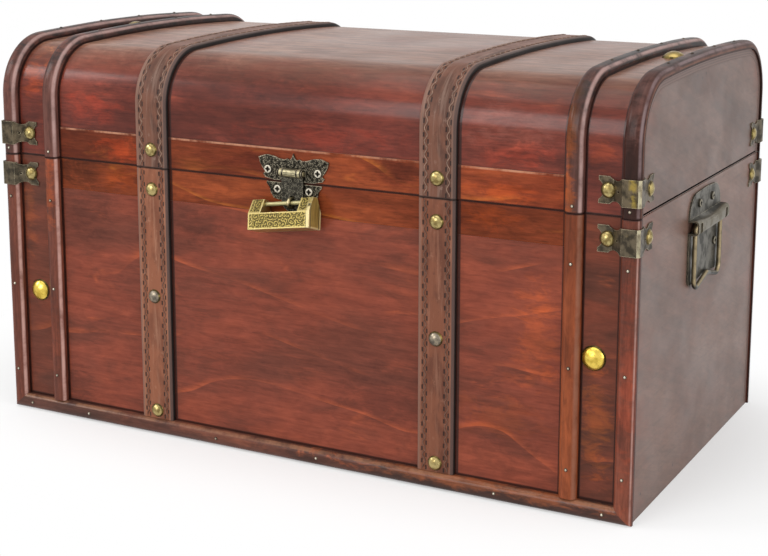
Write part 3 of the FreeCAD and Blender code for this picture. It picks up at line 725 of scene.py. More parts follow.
class Group:
    """A shader node group that is built once and placed in many materials."""

    name = "Group"
    inputs: dict[str, object] = {}
    outputs: tuple[str, ...] = ()
    kinds = {"Vector": "NodeSocketVector", "Color": "NodeSocketColor", "Dark": "NodeSocketColor",
             "Middle": "NodeSocketColor", "Bright": "NodeSocketColor", "Glow": "NodeSocketColor"}

    @classmethod
    def tree(cls) -> bpy.types.NodeTree:
        """The group's tree, built at its first use."""
        found = bpy.data.node_groups.get(cls.name)
        if found:
            return found
        tree = bpy.data.node_groups.new(cls.name, "ShaderNodeTree")
        for way, labels in (("INPUT", cls.inputs), ("OUTPUT", cls.outputs)):
            for label in labels:
                kind = cls.kinds.get(label, "NodeSocketFloat")
                socket = tree.interface.new_socket(name=label, in_out=way, socket_type=kind)
                if way == "INPUT" and kind == "NodeSocketFloat":
                    socket.default_value = cls.inputs[label]
        w = Wiring(tree)
        source, sink = w.add("NodeGroupInput"), w.add("NodeGroupOutput")
        w.fill(sink, cls.wire(w, {socket.name: socket for socket in source.outputs}))
        return tree

    @classmethod
    def wire(cls, w: Wiring, given: dict) -> dict:
        """Builds the nodes and returns the output values by name."""
        raise NotImplementedError

    @classmethod
    def place(cls, w: Wiring, **inputs: object) -> dict:
        """Places the group in a tree and returns its output sockets by name."""
        node = w.fill(w.add("ShaderNodeGroup", node_tree=cls.tree()), inputs)
        return {socket.name: socket for socket in node.outputs}


class GrainGroup(Group):
    """Wood figure whose fibres run along X of the given coordinates, in metres.

    Soft patches and clouds are noises stretched along X. Growth lines are the jumps of a
    saw-tooth that counts across the fibres and is bent by a slow noise, bright at the jump
    and fading on one side, and shown only here and there. Fine fibres and short dark pores
    lie over them almost straight.
    """

    name = "Wood grain"
    inputs = {"Vector": None, "Dark": None, "Middle": None, "Bright": None, "Glow": None,
              "Patches": 1.0, "Lines": 1.0, "Fibres": 1.0}
    outputs = ("Color", "Height")

    @classmethod
    def wire(cls, w: Wiring, given: dict) -> dict:
        """See the class."""
        v, dark, middle, bright, glow, patches, lines, fibres = (given[label] for label in cls.inputs)
        _, across, depth = w.split(v)
        broad = w.streaks(v, 4.5, 13.0, 4.0, 0.55, 0.9)
        cloud = w.streaks(v, 16.0, 52.0, 4.0, 0.6, 0.7, (7.0, 0.0, 0.0))
        warm = w.streaks(v, 12.0, 30.0, 4.0, 0.6, 1.2, (2.0, 9.0, 0.0))
        colour = middle
        for over, spread, low, high, amount in (
                (dark, broad, 0.46, 0.68, 1.0), (bright, broad, 0.50, 0.32, 1.0),
                (dark, cloud, 0.46, 0.68, 0.8), (bright, cloud, 0.46, 0.30, 0.5),
                (glow, warm, 0.60, 0.72, 0.6)):
            colour = w.lay(colour, over, w.step(spread, low, high), patches, amount)
        bend = w.streaks(v, 3.4, 5.0, 2.5, 0.42, 0.2, (0.0, 3.0, 1.0))
        tooth = w.math("FRACT", w.plus(w.times(w.plus(across, depth), 24.0), w.times(bend, 5.0)))
        shown = w.times(w.step(w.streaks(v, 14.0, 25.0, 2.0, move=(0.0, 0.0, 4.0)), 0.42, 0.66), lines)
        colour = w.lay(colour, glow, w.step(tooth, 0.13, 0.0), w.step(tooth, 0.0, 0.015), shown)
        colour = w.lay(colour, dark, w.step(tooth, 0.80, 0.99), shown, 0.6)
        streak = w.streaks(v, 13.0, 240.0, 3.0, 0.6, 0.2, (3.1, 0.0, 0.0))
        fibre = w.streaks(v, 60.0, 780.0, 2.0, 0.6)
        pore = w.streaks(v, 110.0, 1500.0, 1.0, move=(0.0, 5.0, 0.0))
        fleck = w.streaks(v, 70.0, 210.0, 4.0, 0.65, 0.8, (1.0, 2.0, 8.0))
        tone = w.plus(w.step(streak, 0.25, 0.75, -0.17, 0.17), w.step(fibre, 0.2, 0.8, -0.16, 0.16))
        tone = w.plus(tone, w.step(fleck, 0.3, 0.7, 0.17, -0.17))
        hole = w.times(w.step(pore, 0.62, 0.74), fibres)
        tone = w.minus(w.plus(1.0, w.times(tone, fibres)), w.times(hole, 0.22))
        return {"Color": w.shade(colour, tone), "Height": w.minus(w.times(fibre, 0.4), hole)}


class BandGroup(Group):
    """Mask of a value between two limits, with soft edges."""

    name = "Band"
    inputs = {"Value": 0.0, "Low": 0.0, "High": 1.0, "Soft": 0.0004}
    outputs = ("Mask",)

    @classmethod
    def wire(cls, w: Wiring, given: dict) -> dict:
        """See the class."""
        value, low, high, soft = (given[label] for label in cls.inputs)
        rise = w.step(value, w.minus(low, soft), w.plus(low, soft))
        fall = w.step(value, w.plus(high, soft), w.minus(high, soft))
        return {"Mask": w.times(rise, fall)}

    @classmethod
    def mask(cls, w: Wiring, value: object, low: float, high: float, soft: float = 0.0004) -> Socket:
        """Places the group and returns its mask."""
        return cls.place(w, Value=value, Low=low, High=high, Soft=soft)["Mask"]


class WearGroup(Group):
    """Mask of edges rubbed bright: where the eased normal departs from the true one."""

    name = "Edge wear"
    inputs = {"Vector": None, "Radius": 0.0006, "Amount": 1.0}
    outputs = ("Mask",)

    @classmethod
    def wire(cls, w: Wiring, given: dict) -> dict:
        """See the class."""
        eased = w.add("ShaderNodeBevel", {"Radius": given["Radius"]}, samples=4).outputs[0]
        true = w.add("ShaderNodeNewGeometry").outputs["Normal"]
        turn = w.minus(1.0, w.vector("DOT_PRODUCT", eased, true))
        rub = w.step(w.noise(given["Vector"], 260.0), 0.30, 0.58)
        return {"Mask": w.times(w.step(turn, 0.008, 0.10), rub, given["Amount"])}


class GrimeGroup(Group):
    """Mask of uneven tarnish, from a coarse noise, and a fine noise beside it."""

    name = "Tarnish"
    inputs = {"Vector": None, "Scale": 90.0}
    outputs = ("Mask", "Fine")

    @classmethod
    def wire(cls, w: Wiring, given: dict) -> dict:
        """See the class."""
        coarse = w.noise(given["Vector"], given["Scale"], 4.0, 0.6)
        return {"Mask": w.step(coarse, 0.38, 0.64), "Fine": w.noise(given["Vector"], 900.0, 3.0, 0.6)}


class ScrollGroup(Group):
    """Raised curls: in each cell of a pattern a spiral turns round the cell's centre.

    The height is the sine of the distance from the centre plus the angle round it, lifted
    where two cells meet so that the curls touch.
    """

    name = "Scroll relief"
    inputs = {"Vector": None, "Scale": 260.0}
    outputs = ("Height",)

    @classmethod
    def wire(cls, w: Wiring, given: dict) -> dict:
        """See the class."""
        v = w.add("ShaderNodeVectorMath", {0: given["Vector"], "Scale": given["Scale"]},
                  operation="SCALE").outputs[0]
        drift = w.add("ShaderNodeTexNoise", {"Vector": v, "Scale": 1.1}).outputs[1]
        bend = w.vector("MULTIPLY", w.vector("SUBTRACT", drift, (0.5, 0.5, 0.5)), (0.5, 0.5, 0.0))
        v = w.vector("ADD", v, bend)
        cell = w.add("ShaderNodeTexVoronoi", {"Vector": v, "Scale": 1.0, "Randomness": 0.8},
                     voronoi_dimensions="2D").outputs
        x, y, _ = w.split(w.vector("SUBTRACT", v, cell["Position"]))
        wave = w.math("SINE", w.plus(w.times(cell["Distance"], 13.0), w.math("ARCTAN2", y, x)))
        return {"Height": w.step(wave, -0.45, 0.55)}


# ---- finishes ---------------------------------------------------------------------------------


@dataclass(frozen=True)
class Finish:
    """A surface finish that makes its own material once."""

    name: str = "finish"

    def material(self) -> bpy.types.Material:
        """The finish's material, built at its first use."""
        found = bpy.data.materials.get(self.name)
        if found:
            return found
        made = bpy.data.materials.new(self.name)
        made.use_nodes = True
        made.node_tree.nodes.clear()
        w = Wiring(made.node_tree)
        shader = w.add("ShaderNodeBsdfPrincipled")
        w.add("ShaderNodeOutputMaterial", {"Surface": shader.outputs[0]})
        w.fill(shader, self.dress(w))
        return made

    def dress(self, w: Wiring) -> dict[str, object]:
        """Values and sockets of the shader's inputs, by name."""
        raise NotImplementedError


class Along(Enum):
    """Which way the fibres run on a piece."""

    OBJECT_X = "object x"
    SHEET = "across the sweep"
    HOOP = "along the sweep"


@dataclass(frozen=True)
class ToneBand:
    """Band of one surface coordinate, in metres, over which a colour is laid. On the trim and the lid rail
    these bands are mostly painted highlights and painted shade; a few are rubbed wear.
    """

    axis: int
    low: float
    high: float
    colour: Colour = (0.52, 0.25, 0.15)
    amount: float = 0.8
    soft: float = 0.0004
    rough: float = 0.36


@dataclass(frozen=True)
class Spot:
    """Uneven oval of object x and z, in metres, in which the colour is multiplied: mostly stains, and on some
    pieces painted highlights and painted shade.
    """

    x: float
    z: float
    reach_x: float
    reach_z: float
    gain: Colour
    amount: float = 0.8


@dataclass(frozen=True)
class Wood(Finish):
    """Stained and lacquered wood, in four tones: dark, middle, bright and glow.

    Its brightness may drift from the left end to the right, the top of a bent sheet may be
    faded toward a paler crown colour where u is past its front corner, which also stands in for
    painted sheen, and painted shade darkens strips of object x beside the hoops and straps, the
    seam and the crease over the foot mouldings. Tone bands and spots lay rubbed wear and stains,
    and on some pieces painted highlights and painted shade.
    """

    tones: tuple[Colour, ...] = ((0.125, 0.034, 0.020), (0.195, 0.044, 0.024), (0.250, 0.056, 0.028),
                                 (0.400, 0.085, 0.032))
    fibres: Along = Along.SHEET
    patches: float = 0.8
    lines: float = 0.7
    grain: float = 1.0
    coat: float = 0.35
    coat_rough: float = 0.14
    relief: float = 0.00010
    move: tuple[float, float, float] = (0.0, 0.0, 0.0)
    drift: Optional[tuple[float, float]] = None
    crown: Optional[Colour] = None
    tone_bands: tuple[ToneBand, ...] = ()
    shade_gutters: tuple[tuple[float, float], ...] = ()
    spots: tuple[Spot, ...] = ()

    def fade(self, w: Wiring, colour: Socket, u: Socket, v: Socket) -> Socket:
        """Colour faded to an uneven, paler crown colour over the top of the bent sheet: a faded stain that
        also stands in for painted sheen.
        """
        top = w.times(w.step(u, 0.055, 0.105), w.step(u, 0.335, 0.290))
        uneven = w.step(w.noise(v, 12.0, 4.0), 0.25, 0.6, 0.5, 0.92)
        pale = w.streaks(v, 30.0, 170.0, 4.0, 0.65, 0.6)
        low, high = (tuple(gain * part for part in self.crown) for gain in (0.72, 1.35))
        return w.lay(colour, w.mix(w.step(pale, 0.32, 0.68), low, high), top, uneven)

    def stain(self, w: Wiring, colour: Socket) -> Socket:
        """Colour multiplied in ragged ovals: stains, and on some pieces painted highlights and painted shade.

        An oval's mask falls from its centre to its reach, where the distance is measured in
        reaches and a rough noise is added to it.
        """
        x, _, z = w.split(w.coords())
        ragged = w.noise(w.stretch(w.coords(), (55.0, 55.0, 120.0)), 1.0, 6.0, 0.7, 0.5)
        ragged = w.step(ragged, 0.25, 0.75, -0.9, 0.9)
        for spot in self.spots:
            away = w.far(w.join(w.math("DIVIDE", w.minus(x, spot.x), spot.reach_x),
                                w.math("DIVIDE", w.minus(z, spot.z), spot.reach_z)))
            mask = w.step(w.plus(away, ragged), 1.25, 0.0)
            colour = w.lay(colour, spot.gain, mask, spot.amount, blend="MULTIPLY")
        return colour

    def paint_crease_shade(self, w: Wiring, colour: Socket) -> Socket:
        """Colour with painted shade along the seam, in the strips beside the hoops and straps and over the
        foot mouldings.
        """
        x, _, z = w.split(w.coords())
        spans = [(z, SEAM_SHADE), *((x, shade_gutter) for shade_gutter in self.shade_gutters)]
        if self.shade_gutters:
            spans.append((z, MOULDING_SHADE))
        crease_shade = 0.0
        for value, (low, high) in spans:
            crease_shade = w.most(crease_shade, BandGroup.mask(w, value, low, high))
        # near-black painted shade over all the crease bands
        return w.lay(colour, (0.024, 0.008, 0.006), crease_shade, 0.88)

    def dress(self, w: Wiring) -> dict[str, object]:
        """See the class."""
        raw = w.coords("Object" if self.fibres is Along.OBJECT_X else "UV")
        x, y, z = w.split(raw)
        v = w.vector("ADD", w.join(y, x, z) if self.fibres is Along.SHEET else raw, self.move)
        grain = GrainGroup.place(w, Vector=v, **dict(zip(("Dark", "Middle", "Bright", "Glow"), self.tones)),
                                 Patches=self.patches, Lines=self.lines, Fibres=self.grain)
        colour = grain["Color"]
        if self.drift:
            colour = w.shade(colour, w.step(w.split(w.coords())[0], -0.19, 0.19, *self.drift))
        if self.crown:
            colour = self.fade(w, colour, x, v)
        if self.spots:
            colour = self.stain(w, colour)
        # tone bands: painted highlights, painted shade and rubbed wear, each in its own band
        for rub in self.tone_bands:
            band = BandGroup.mask(w, (x, y, z)[rub.axis], rub.low, rub.high, rub.soft)
            uneven = w.step(w.noise(raw, 45.0, 4.0, 0.7), rub.rough, 0.62)
            colour = w.lay(colour, rub.colour, band, uneven, rub.amount)
        if self.coat:
            colour = self.paint_crease_shade(w, colour)
        cloud = w.noise(v, 14.0)
        swell = w.streaks(v, 16.0, 34.0, 2.0)
        height = w.plus(w.times(grain["Height"], 0.5), w.times(swell, 4.0))
        return {"Base Color": colour, "Roughness": w.step(cloud, 0.3, 0.7, 0.5, 0.64),
                "Coat Weight": w.step(cloud, 0.25, 0.75, self.coat, self.coat * 0.75),
                "Normal": w.bump(height, self.relief), "Coat Roughness": self.coat_rough,
                "Coat IOR": 1.45, "Specular IOR Level": 0.05}


@dataclass(frozen=True)
class PlyEdge(Finish):
    """Cut edge of a sheet: brown, with dark glue lines at set depths below the outer face."""

    colour: Colour = (0.13, 0.075, 0.06)
    line: Colour = (0.03, 0.016, 0.013)
    ply: float = 0.00167

    def dress(self, w: Wiring) -> dict[str, object]:
        """See the class."""
        u, depth, _ = w.split(w.coords("UV"))
        wave = w.size(w.math("SINE", w.times(depth, math.pi / self.ply)))
        cloud = w.noise(w.join(w.times(u, 60.0), w.times(depth, 900.0)), 1.0)
        glue = w.lay(self.colour, self.line, w.step(wave, 0.42, 0.12), w.step(cloud, 0.25, 0.5))
        return {"Base Color": glue, "Roughness": 0.5}


@dataclass(frozen=True)
class EndGrain(Finish):
    """End boards: thin brown satin stain over a faint figure, with a few old nail marks.

    The marks are at places of object y and z, in metres.
    """

    tones: tuple[Colour, ...] = ((0.082, 0.042, 0.030), (0.130, 0.068, 0.048), (0.165, 0.092, 0.067))
    red: Colour = (0.150, 0.050, 0.030)
    marks: tuple[tuple[float, float], ...] = (
        (-0.0252, 0.2640), (-0.0148, 0.2612), (-0.0068, 0.2635), (-0.1120, 0.0140), (-0.0480, 0.0110),
        (0.0310, 0.0130), (0.0960, 0.0120))

    def dress(self, w: Wiring) -> dict[str, object]:
        """See the class."""
        x, y, z = w.split(w.coords())
        flat, v = w.join(y, z), w.stretch(w.join(y, z, x), (1.0, 1.0, 1.0), turn=(0.0, 0.0, 0.35))
        grain = GrainGroup.place(w, Vector=v, **dict(zip(("Dark", "Middle", "Bright"), self.tones)),
                                 Glow=(0.175, 0.105, 0.08), Patches=0.7, Lines=0.2, Fibres=0.55)
        near = w.plus(0.25, w.step(w.size(y), 0.085, 0.128))
        red = w.step(w.streaks(v, 9.0, 30.0, 4.0, 0.65, move=(5.0, 1.0, 0.0)), 0.42, 0.66, 0.0, 0.7)
        colour = w.lay(grain["Color"], self.red, red, near)
        scratch = w.streaks(flat, 14.0, 620.0, 2.0, turn=0.6)
        colour = w.lay(colour, (0.24, 0.17, 0.14), w.step(scratch, 0.70, 0.78, 0.0, 0.4))
        wiped = w.streaks(flat, 26.0, 300.0, 5.0, 0.7, turn=-0.12)
        colour = w.lay(colour, (0.045, 0.024, 0.018), w.step(wiped, 0.50, 0.68, 0.0, 0.32))
        specks, zone = w.noise(flat, 900.0, 2.0, 0.6), w.noise(flat, 22.0, 2.0)
        colour = w.lay(colour, (0.26, 0.15, 0.10), w.step(specks, 0.66, 0.74, 0.0, 0.45),
                       w.step(zone, 0.50, 0.62))
        for mark in self.marks:
            colour = w.lay(colour, (0.02, 0.013, 0.011), w.step(w.far(flat, (*mark, 0.0)), 0.0013, 0.0005))
        return {"Base Color": colour, "Roughness": w.step(w.noise(v, 25.0), 0.3, 0.7, 0.42, 0.55),
                "Normal": w.bump(grain["Height"], 0.00005), "Coat Weight": 0.2, "Coat Roughness": 0.3,
                "Specular IOR Level": 0.4}


@dataclass(frozen=True)
class Leather(Finish):
    """Strap: brown leather with a rubbed border, a left edge painted lit, a right edge greyed by painted
    sheen and darkened by painted shade, painted shade on the side walls and along the seam, and two rows of
    holes beside each thread.
    """

    dark: Colour = (0.105, 0.035, 0.019)
    middle: Colour = (0.180, 0.061, 0.031)
    bright: Colour = (0.270, 0.125, 0.078)
    # painted light on the edges: the left one lit, the right one greyed by sheen and shaded
    lit_left_edge: Colour = (0.200, 0.100, 0.070)
    shaded_right_edge: Colour = (0.080, 0.050, 0.043)
    # under is painted shade, for the side walls and along the seam
    under: Colour = (0.012, 0.008, 0.007)

    def holes(self, w: Wiring, u: Socket, side: Socket) -> Socket:
        """Mask of the holes: half waves of the stitch pitch, in a row each side of the thread."""
        wave, holes = w.math("SINE", w.times(u, 2 * math.pi / (STITCH_PITCH * MM))), 0.0
        for way in (-1, 1):
            away = w.size(w.minus(side, STITCH_LINE * MM + way * 0.0015))
            dash = w.times(w.step(wave, -way * 0.25, -way * 0.6), w.step(away, 0.0007, 0.0004))
            holes = w.plus(holes, dash, clamp=True)
        return holes

    def dress(self, w: Wiring) -> dict[str, object]:
        """See the class."""
        u, v, _ = w.split(w.coords("UV"))
        side, spot = w.size(v), w.join(u, v)
        streak = w.streaks(spot, 22.0, 300.0, 4.0, 0.6)
        cloud = w.streaks(spot, 24.0, 60.0, 4.0, 0.6)
        blot = w.streaks(spot, 110.0, 170.0, 4.0, 0.65, move=(4.0, 0.0, 0.0))
        # edge is painted light: lit on the left, painted sheen and shade on the right
        edge = w.lay(self.shaded_right_edge, self.lit_left_edge, w.step(v, -0.001, 0.001))
        seam = BandGroup.mask(w, w.split(w.coords())[2], *SEAM_SHADE)
        holes = self.holes(w, u, side)
        colour = self.middle
        for over, *masks in ((self.dark, w.step(cloud, 0.45, 0.62), 0.85),
                             (self.bright, w.step(streak, 0.48, 0.72), 0.55),
                             (self.dark, w.step(blot, 0.58, 0.70, 0.0, 0.6)),
                             (self.bright, w.step(blot, 0.42, 0.30, 0.0, 0.6)),
                             (self.bright, w.step(side, 0.0094, 0.0102), 0.35),
                             (edge, w.step(side, 0.0106, 0.0113), w.step(streak, 0.2, 0.5, 0.6, 0.95)),
                             # painted shade on the side walls and along the seam
                             (self.under, w.step(side, 0.0126, 0.0134)),
                             (self.under, seam, 0.75), ((0.020, 0.010, 0.008), holes, 0.9)):
            colour = w.lay(colour, over, *masks)
        pebble = w.add("ShaderNodeTexVoronoi", {"Vector": spot, "Scale": 900.0}).outputs["Distance"]
        height = w.minus(w.plus(w.times(pebble, 0.35), w.times(streak, 0.8)), w.times(holes, 3.0))
        return {"Base Color": colour, "Normal": w.bump(height, 0.00012),
                "Roughness": w.step(cloud, 0.3, 0.7, 0.45, 0.6), "Specular IOR Level": 0.22}


@dataclass(frozen=True)
class Plain(Finish):
    """A quiet finish with a slight mottle, for thread and spring steel."""

    colour: Colour = (0.3, 0.2, 0.15)
    rough: float = 0.7
    metal: float = 0.0
    mottle: float = 0.25
    scale: float = 120.0

    def dress(self, w: Wiring) -> dict[str, object]:
        """See the class."""
        cloud = w.noise(w.coords(), self.scale, 4.0)
        tone = w.step(cloud, 0.3, 0.7, 1.0 - self.mottle, 1.0 + self.mottle)
        return {"Base Color": w.shade(self.colour, tone), "Normal": w.bump(cloud, 0.00004),
                "Roughness": w.step(cloud, 0.3, 0.7, self.rough - 0.06, self.rough + 0.06),
                "Metallic": self.metal}


@dataclass(frozen=True)
class Metal(Finish):
    """Tarnished metal with bright rubbed edges and, if asked, gilt patches or fine raised curls."""

    base: Colour = (0.11, 0.10, 0.075)
    tarnish: Colour = (0.045, 0.042, 0.032)
    worn: Colour = (0.62, 0.52, 0.32)
    rough: float = 0.38
    wear: float = 1.0
    wear_radius: float = 0.0006
    scale: float = 90.0
    curls: float = 0.0
    gilt: float = 0.0

    def dress(self, w: Wiring) -> dict[str, object]:
        """See the class."""
        v = w.coords()
        grime = GrimeGroup.place(w, Vector=v, Scale=self.scale)
        colour = w.lay(self.base, self.tarnish, grime["Mask"])
        if self.gilt:
            patch = w.step(w.noise(v, 38.0, 4.0, 0.6), 0.62, 0.74)
            colour = w.lay(colour, (0.42, 0.28, 0.07), patch, self.gilt)
        height, depth = w.times(grime["Fine"], 0.6), 0.00003
        if self.curls:
            x, _, z = w.split(v)
            curl = ScrollGroup.place(w, Vector=w.join(x, z), Scale=self.curls)["Height"]
            colour = w.lay(colour, self.worn, curl, w.step(w.noise(v, 520.0, 2.0), 0.40, 0.62), 0.42)
            height, depth = w.plus(w.times(height, 0.2), curl), 0.00018
        colour = self.mark(w, v, colour)
        if self.wear:
            mask = WearGroup.place(w, Vector=v, Radius=self.wear_radius, Amount=self.wear)["Mask"]
            colour = w.lay(colour, self.worn, mask)
        return {"Base Color": colour, "Normal": w.bump(height, depth), "Metallic": 0.92,
                "Roughness": w.step(grime["Mask"], 0.0, 1.0, self.rough, self.rough + 0.16)}

    def mark(self, w: Wiring, spot: Socket, colour: Socket) -> Socket:
        """Colour at a spot after any marks of this finish's own."""
        return colour


@dataclass(frozen=True)
class Folded(Metal):
    """Bent sheet with a painted highlight, unevenly rubbed, along its upright corner folds, gilded in one
    patch, or paler where proud.

    A fold shows where the object normal leans equally to x and y near the corner. The sheet is
    proud where its distance from the middle along X is over the given one.
    """

    fold: Colour = (0.50, 0.45, 0.30)
    gold: float = 0.0
    proud: float = 9.0
    raised: Colour = (0.3, 0.3, 0.2)

    def mark(self, w: Wiring, spot: Socket, colour: Socket) -> Socket:
        """Painted highlight on the folds, the gilded patch and a paler proud part."""
        lean_x, lean_y, _ = w.split(w.coords("Normal"))
        x, y, _ = w.split(spot)
        out = w.size(x)
        # painted highlight where the sheet turns the corner, broken up by an uneven rub
        fold = w.step(w.size(w.times(lean_x, lean_y)), 0.38, 0.47)
        rub = w.step(w.noise(spot, 170.0, 4.0), 0.35, 0.6, 0.1, 0.75)
        colour = w.lay(colour, self.fold, fold, rub, w.step(out, 0.2352, 0.2362))
        if self.gold:
            patch = BandGroup.mask(w, x, 0.2335, 0.2378, 0.0012)
            ragged = w.step(w.noise(spot, 260.0, 4.0), 0.38, 0.62, 0.0, self.gold)
            colour = w.lay(colour, (0.33, 0.235, 0.05), patch, w.step(y, -0.1300, -0.1320), ragged)
        return w.lay(colour, self.raised, w.step(out, self.proud - MM, self.proud + MM, 0.0, 0.85))


@dataclass(frozen=True)
class Screws(Metal):
    """Round heads with a bright ring and a dark cross, at centres in the XZ or YZ plane."""

    base: Colour = (0.20, 0.18, 0.14)
    tarnish: Colour = (0.08, 0.07, 0.055)
    wear: float = 0.0
    ring: Colour = (0.58, 0.53, 0.43)
    centres: tuple[tuple[float, float], ...] = ()
    along_y: bool = False

    def mark(self, w: Wiring, spot: Socket, colour: Socket) -> Socket:
        """Rings and crosses."""
        x, y, z = w.split(spot)
        flat = w.join(y if self.along_y else x, z)
        for centre in self.centres:
            away = w.vector("SUBTRACT", flat, (*centre, 0.0))
            far = w.far(away)
            across, up, _ = w.split(w.vector("ABSOLUTE", away))
            colour = w.lay(colour, self.ring, BandGroup.mask(w, far, 0.0014, 0.0025, 0.0002))
            colour = w.lay(colour, (0.012, 0.010, 0.008), w.step(far, 0.0020, 0.0017),
                           w.step(w.math("MINIMUM", across, up), 0.0006, 0.0004))
        return colour


@dataclass(frozen=True)
class Barrel(Metal):
    """Hasp finish whose rolled barrel is rubbed to brass between dark turned grooves.

    The barrel is where the distance to the hinge line is under its radius; its bright bands
    are spans of the distance from its middle along X, and its thin dark seam lines and the painted shade
    along its top and bottom are spans of z.
    """

    line: tuple[float, float] = (-0.1338, 0.1979)
    middle: float = 0.002
    brass: Colour = (0.50, 0.44, 0.27)
    bands: tuple[tuple[float, float], ...] = ((-0.001, 0.0047), (0.0061, 0.0078))
    # two thin dark lines near the hinge line, then painted shade along the barrel's top and bottom
    seams_and_shade: tuple[tuple[float, float], ...] = ((0.1982, 0.1986), (0.1968, 0.1972), (0.2000, 0.2020),
                                              (0.1940, 0.1958))

    def mark(self, w: Wiring, spot: Socket, colour: Socket) -> Socket:
        """Brass on the barrel, dark in the grooves, with painted shade along its top and bottom."""
        x, y, z = w.split(spot)
        away, side = w.far(w.join(y, z), (*self.line, 0.0)), w.size(w.minus(x, self.middle))
        bright = 0.0
        for low, high in self.bands:
            bright = w.plus(bright, BandGroup.mask(w, side, low, high, 0.00015), clamp=True)
        for low, high in self.seams_and_shade:
            seam = w.times(BandGroup.mask(w, z, low, high, 0.0001), w.step(side, 0.0046, 0.0043, 0.0, 0.75))
            bright = w.minus(bright, seam, clamp=True)
        stain = w.step(w.noise(spot, 420.0), 0.35, 0.6, 0.6, 1.0)
        brass = w.lay((0.030, 0.025, 0.018), self.brass, bright, stain)
        return w.lay(colour, brass, w.step(away, 0.0034, 0.0030), w.step(side, 0.0100, 0.0096))


@dataclass(frozen=True)
class RubbedLitWire(Metal):
    """Dark wire, bright on one side: partly rubbed by the hand, partly a painted highlight.

    The bright side follows the object normal: half outward, most of it to the front and some upward.
    """

    bright: Colour = (0.31, 0.245, 0.145)

    def mark(self, w: Wiring, spot: Socket, colour: Socket) -> Socket:
        """Bright along one side: rub and painted highlight."""
        x, y, z = w.split(w.coords("Normal"))
        lean = w.plus(w.minus(w.times(w.size(x), 0.45), w.times(y, 0.8)), w.times(z, 0.5))
        rub = w.step(w.noise(spot, 160.0), 0.3, 0.55, 0.55, 1.0)
        return w.lay(colour, self.bright, w.step(lean, 0.45, 0.75), rub)


@dataclass(frozen=True)
class LockBrass(Finish):
    """Padlock brass: raised plain borders round fields of engraved curls.

    It reads the piece's own place, turned back by the lock's lean and tilt about the bar.
    On the bolt, the bar is plain and the end cap has an upright panel between two grooves.
    """

    gold: Colour = (0.38, 0.29, 0.080)
    border: Colour = (0.55, 0.43, 0.165)
    deep: Colour = (0.035, 0.026, 0.007)
    bar: tuple[float, float, float] = (0.002, -0.1348, 0.178)
    lean: float = math.radians(-18.0)
    tilt: float = math.radians(-8.0)
    middle: float = -0.0043
    bolt: bool = False

    def case(self, w: Wiring, colour: Socket, x: Socket, away: Socket, z: Socket) -> tuple[Socket, Socket]:
        """Colour and cut depth of the body: plain borders, engraved fields and painted shade in the throat.
        """
        side = w.size(x)
        gap = w.times(w.step(z, -0.0058, -0.0055), w.step(side, 0.0151, 0.0154))
        rim = w.step(w.size(w.minus(side, 0.0207)), 0.0, 0.0004)
        face = w.times(w.step(z, -0.0166, -0.0163), w.most(w.step(z, -0.0072, -0.0075), gap),
                       w.step(side, 0.0226, 0.0223), rim)
        curl = ScrollGroup.place(w, Vector=w.join(x, z), Scale=270.0)["Height"]
        fine = w.streaks(w.join(x, z), 700.0, 700.0, 2.0, turn=0.7)
        curl = w.times(curl, w.step(fine, 0.35, 0.5, 0.4, 1.0))
        cut = w.times(w.minus(1.0, curl), face)
        colour = self.engrave(w, w.lay(colour, self.border, w.minus(1.0, face), 0.75), cut)
        # painted shade: the throat under the bar is laid near black
        return w.lay(colour, (0.02, 0.015, 0.008), w.step(side, 0.0142, 0.0140),
                     w.step(away, 0.0060, 0.0058), w.step(z, -0.0092, -0.0090)), cut

    def cap(self, w: Wiring, colour: Socket, x: Socket, y: Socket, z: Socket) -> tuple[Socket, Socket]:
        """Colour and cut depth of the bolt: a streaked end cap and a plain bar."""
        away = w.size(y)
        cut = BandGroup.mask(w, away, 0.0048, 0.0057, 0.00015)
        streak = w.noise(w.join(w.times(y, 900.0), w.times(z, 60.0)), 1.0, 2.0)
        colour = w.lay(colour, (0.20, 0.14, 0.03), w.step(streak, 0.40, 0.65, 0.1, 0.85))
        plain = w.most(w.step(away, 0.0058, 0.0061), w.step(z, -0.0164, -0.0167))
        colour = w.lay(colour, self.border, plain, 0.9)
        colour = w.lay(colour, (0.46, 0.41, 0.20), w.step(x, 0.0205, 0.0203))
        return self.engrave(w, colour, cut), cut

    def engrave(self, w: Wiring, colour: Socket, cut: Socket) -> Socket:
        """Colour with dark cuts and bright worn edges."""
        wear = WearGroup.place(w, Vector=w.coords(), Radius=0.0005, Amount=1.0)["Mask"]
        return w.lay(w.lay(colour, self.deep, cut, 0.88), (0.92, 0.82, 0.52), wear, 0.85)

    def dress(self, w: Wiring) -> dict[str, object]:
        """See the class."""
        raw = w.coords()
        x, y, z = w.split(w.stretch(raw, (1.0, 1.0, 1.0), self.bar, (self.lean, self.tilt, 0.0), "TEXTURE"))
        grime = GrimeGroup.place(w, Vector=raw, Scale=160.0)
        colour, x = w.lay(self.gold, (0.30, 0.22, 0.07), grime["Mask"], 0.5), w.minus(x, self.middle)
        if self.bolt:
            colour, cut = self.cap(w, colour, x, y, z)
        else:
            colour, cut = self.case(w, colour, x, w.size(y), z)
        height = w.minus(w.times(grime["Fine"], 0.08), cut)
        return {"Base Color": colour, "Normal": w.bump(height, 0.00028),
                "Roughness": w.step(cut, 0.0, 1.0, 0.3, 0.5), "Metallic": 0.35 if self.bolt else 0.8}


# Spans of x painted dark as shade beside the rims, the hoops and the right edges of the straps.
SHADE_GUTTERS = ((-0.2284, -0.2268), (-0.2054, -0.2036), (-0.1924, -0.1906), (-0.0982, -0.0956),
           (0.1198, 0.1224), (0.1904, 0.1924), (0.2036, 0.2052), (0.2264, 0.2284))
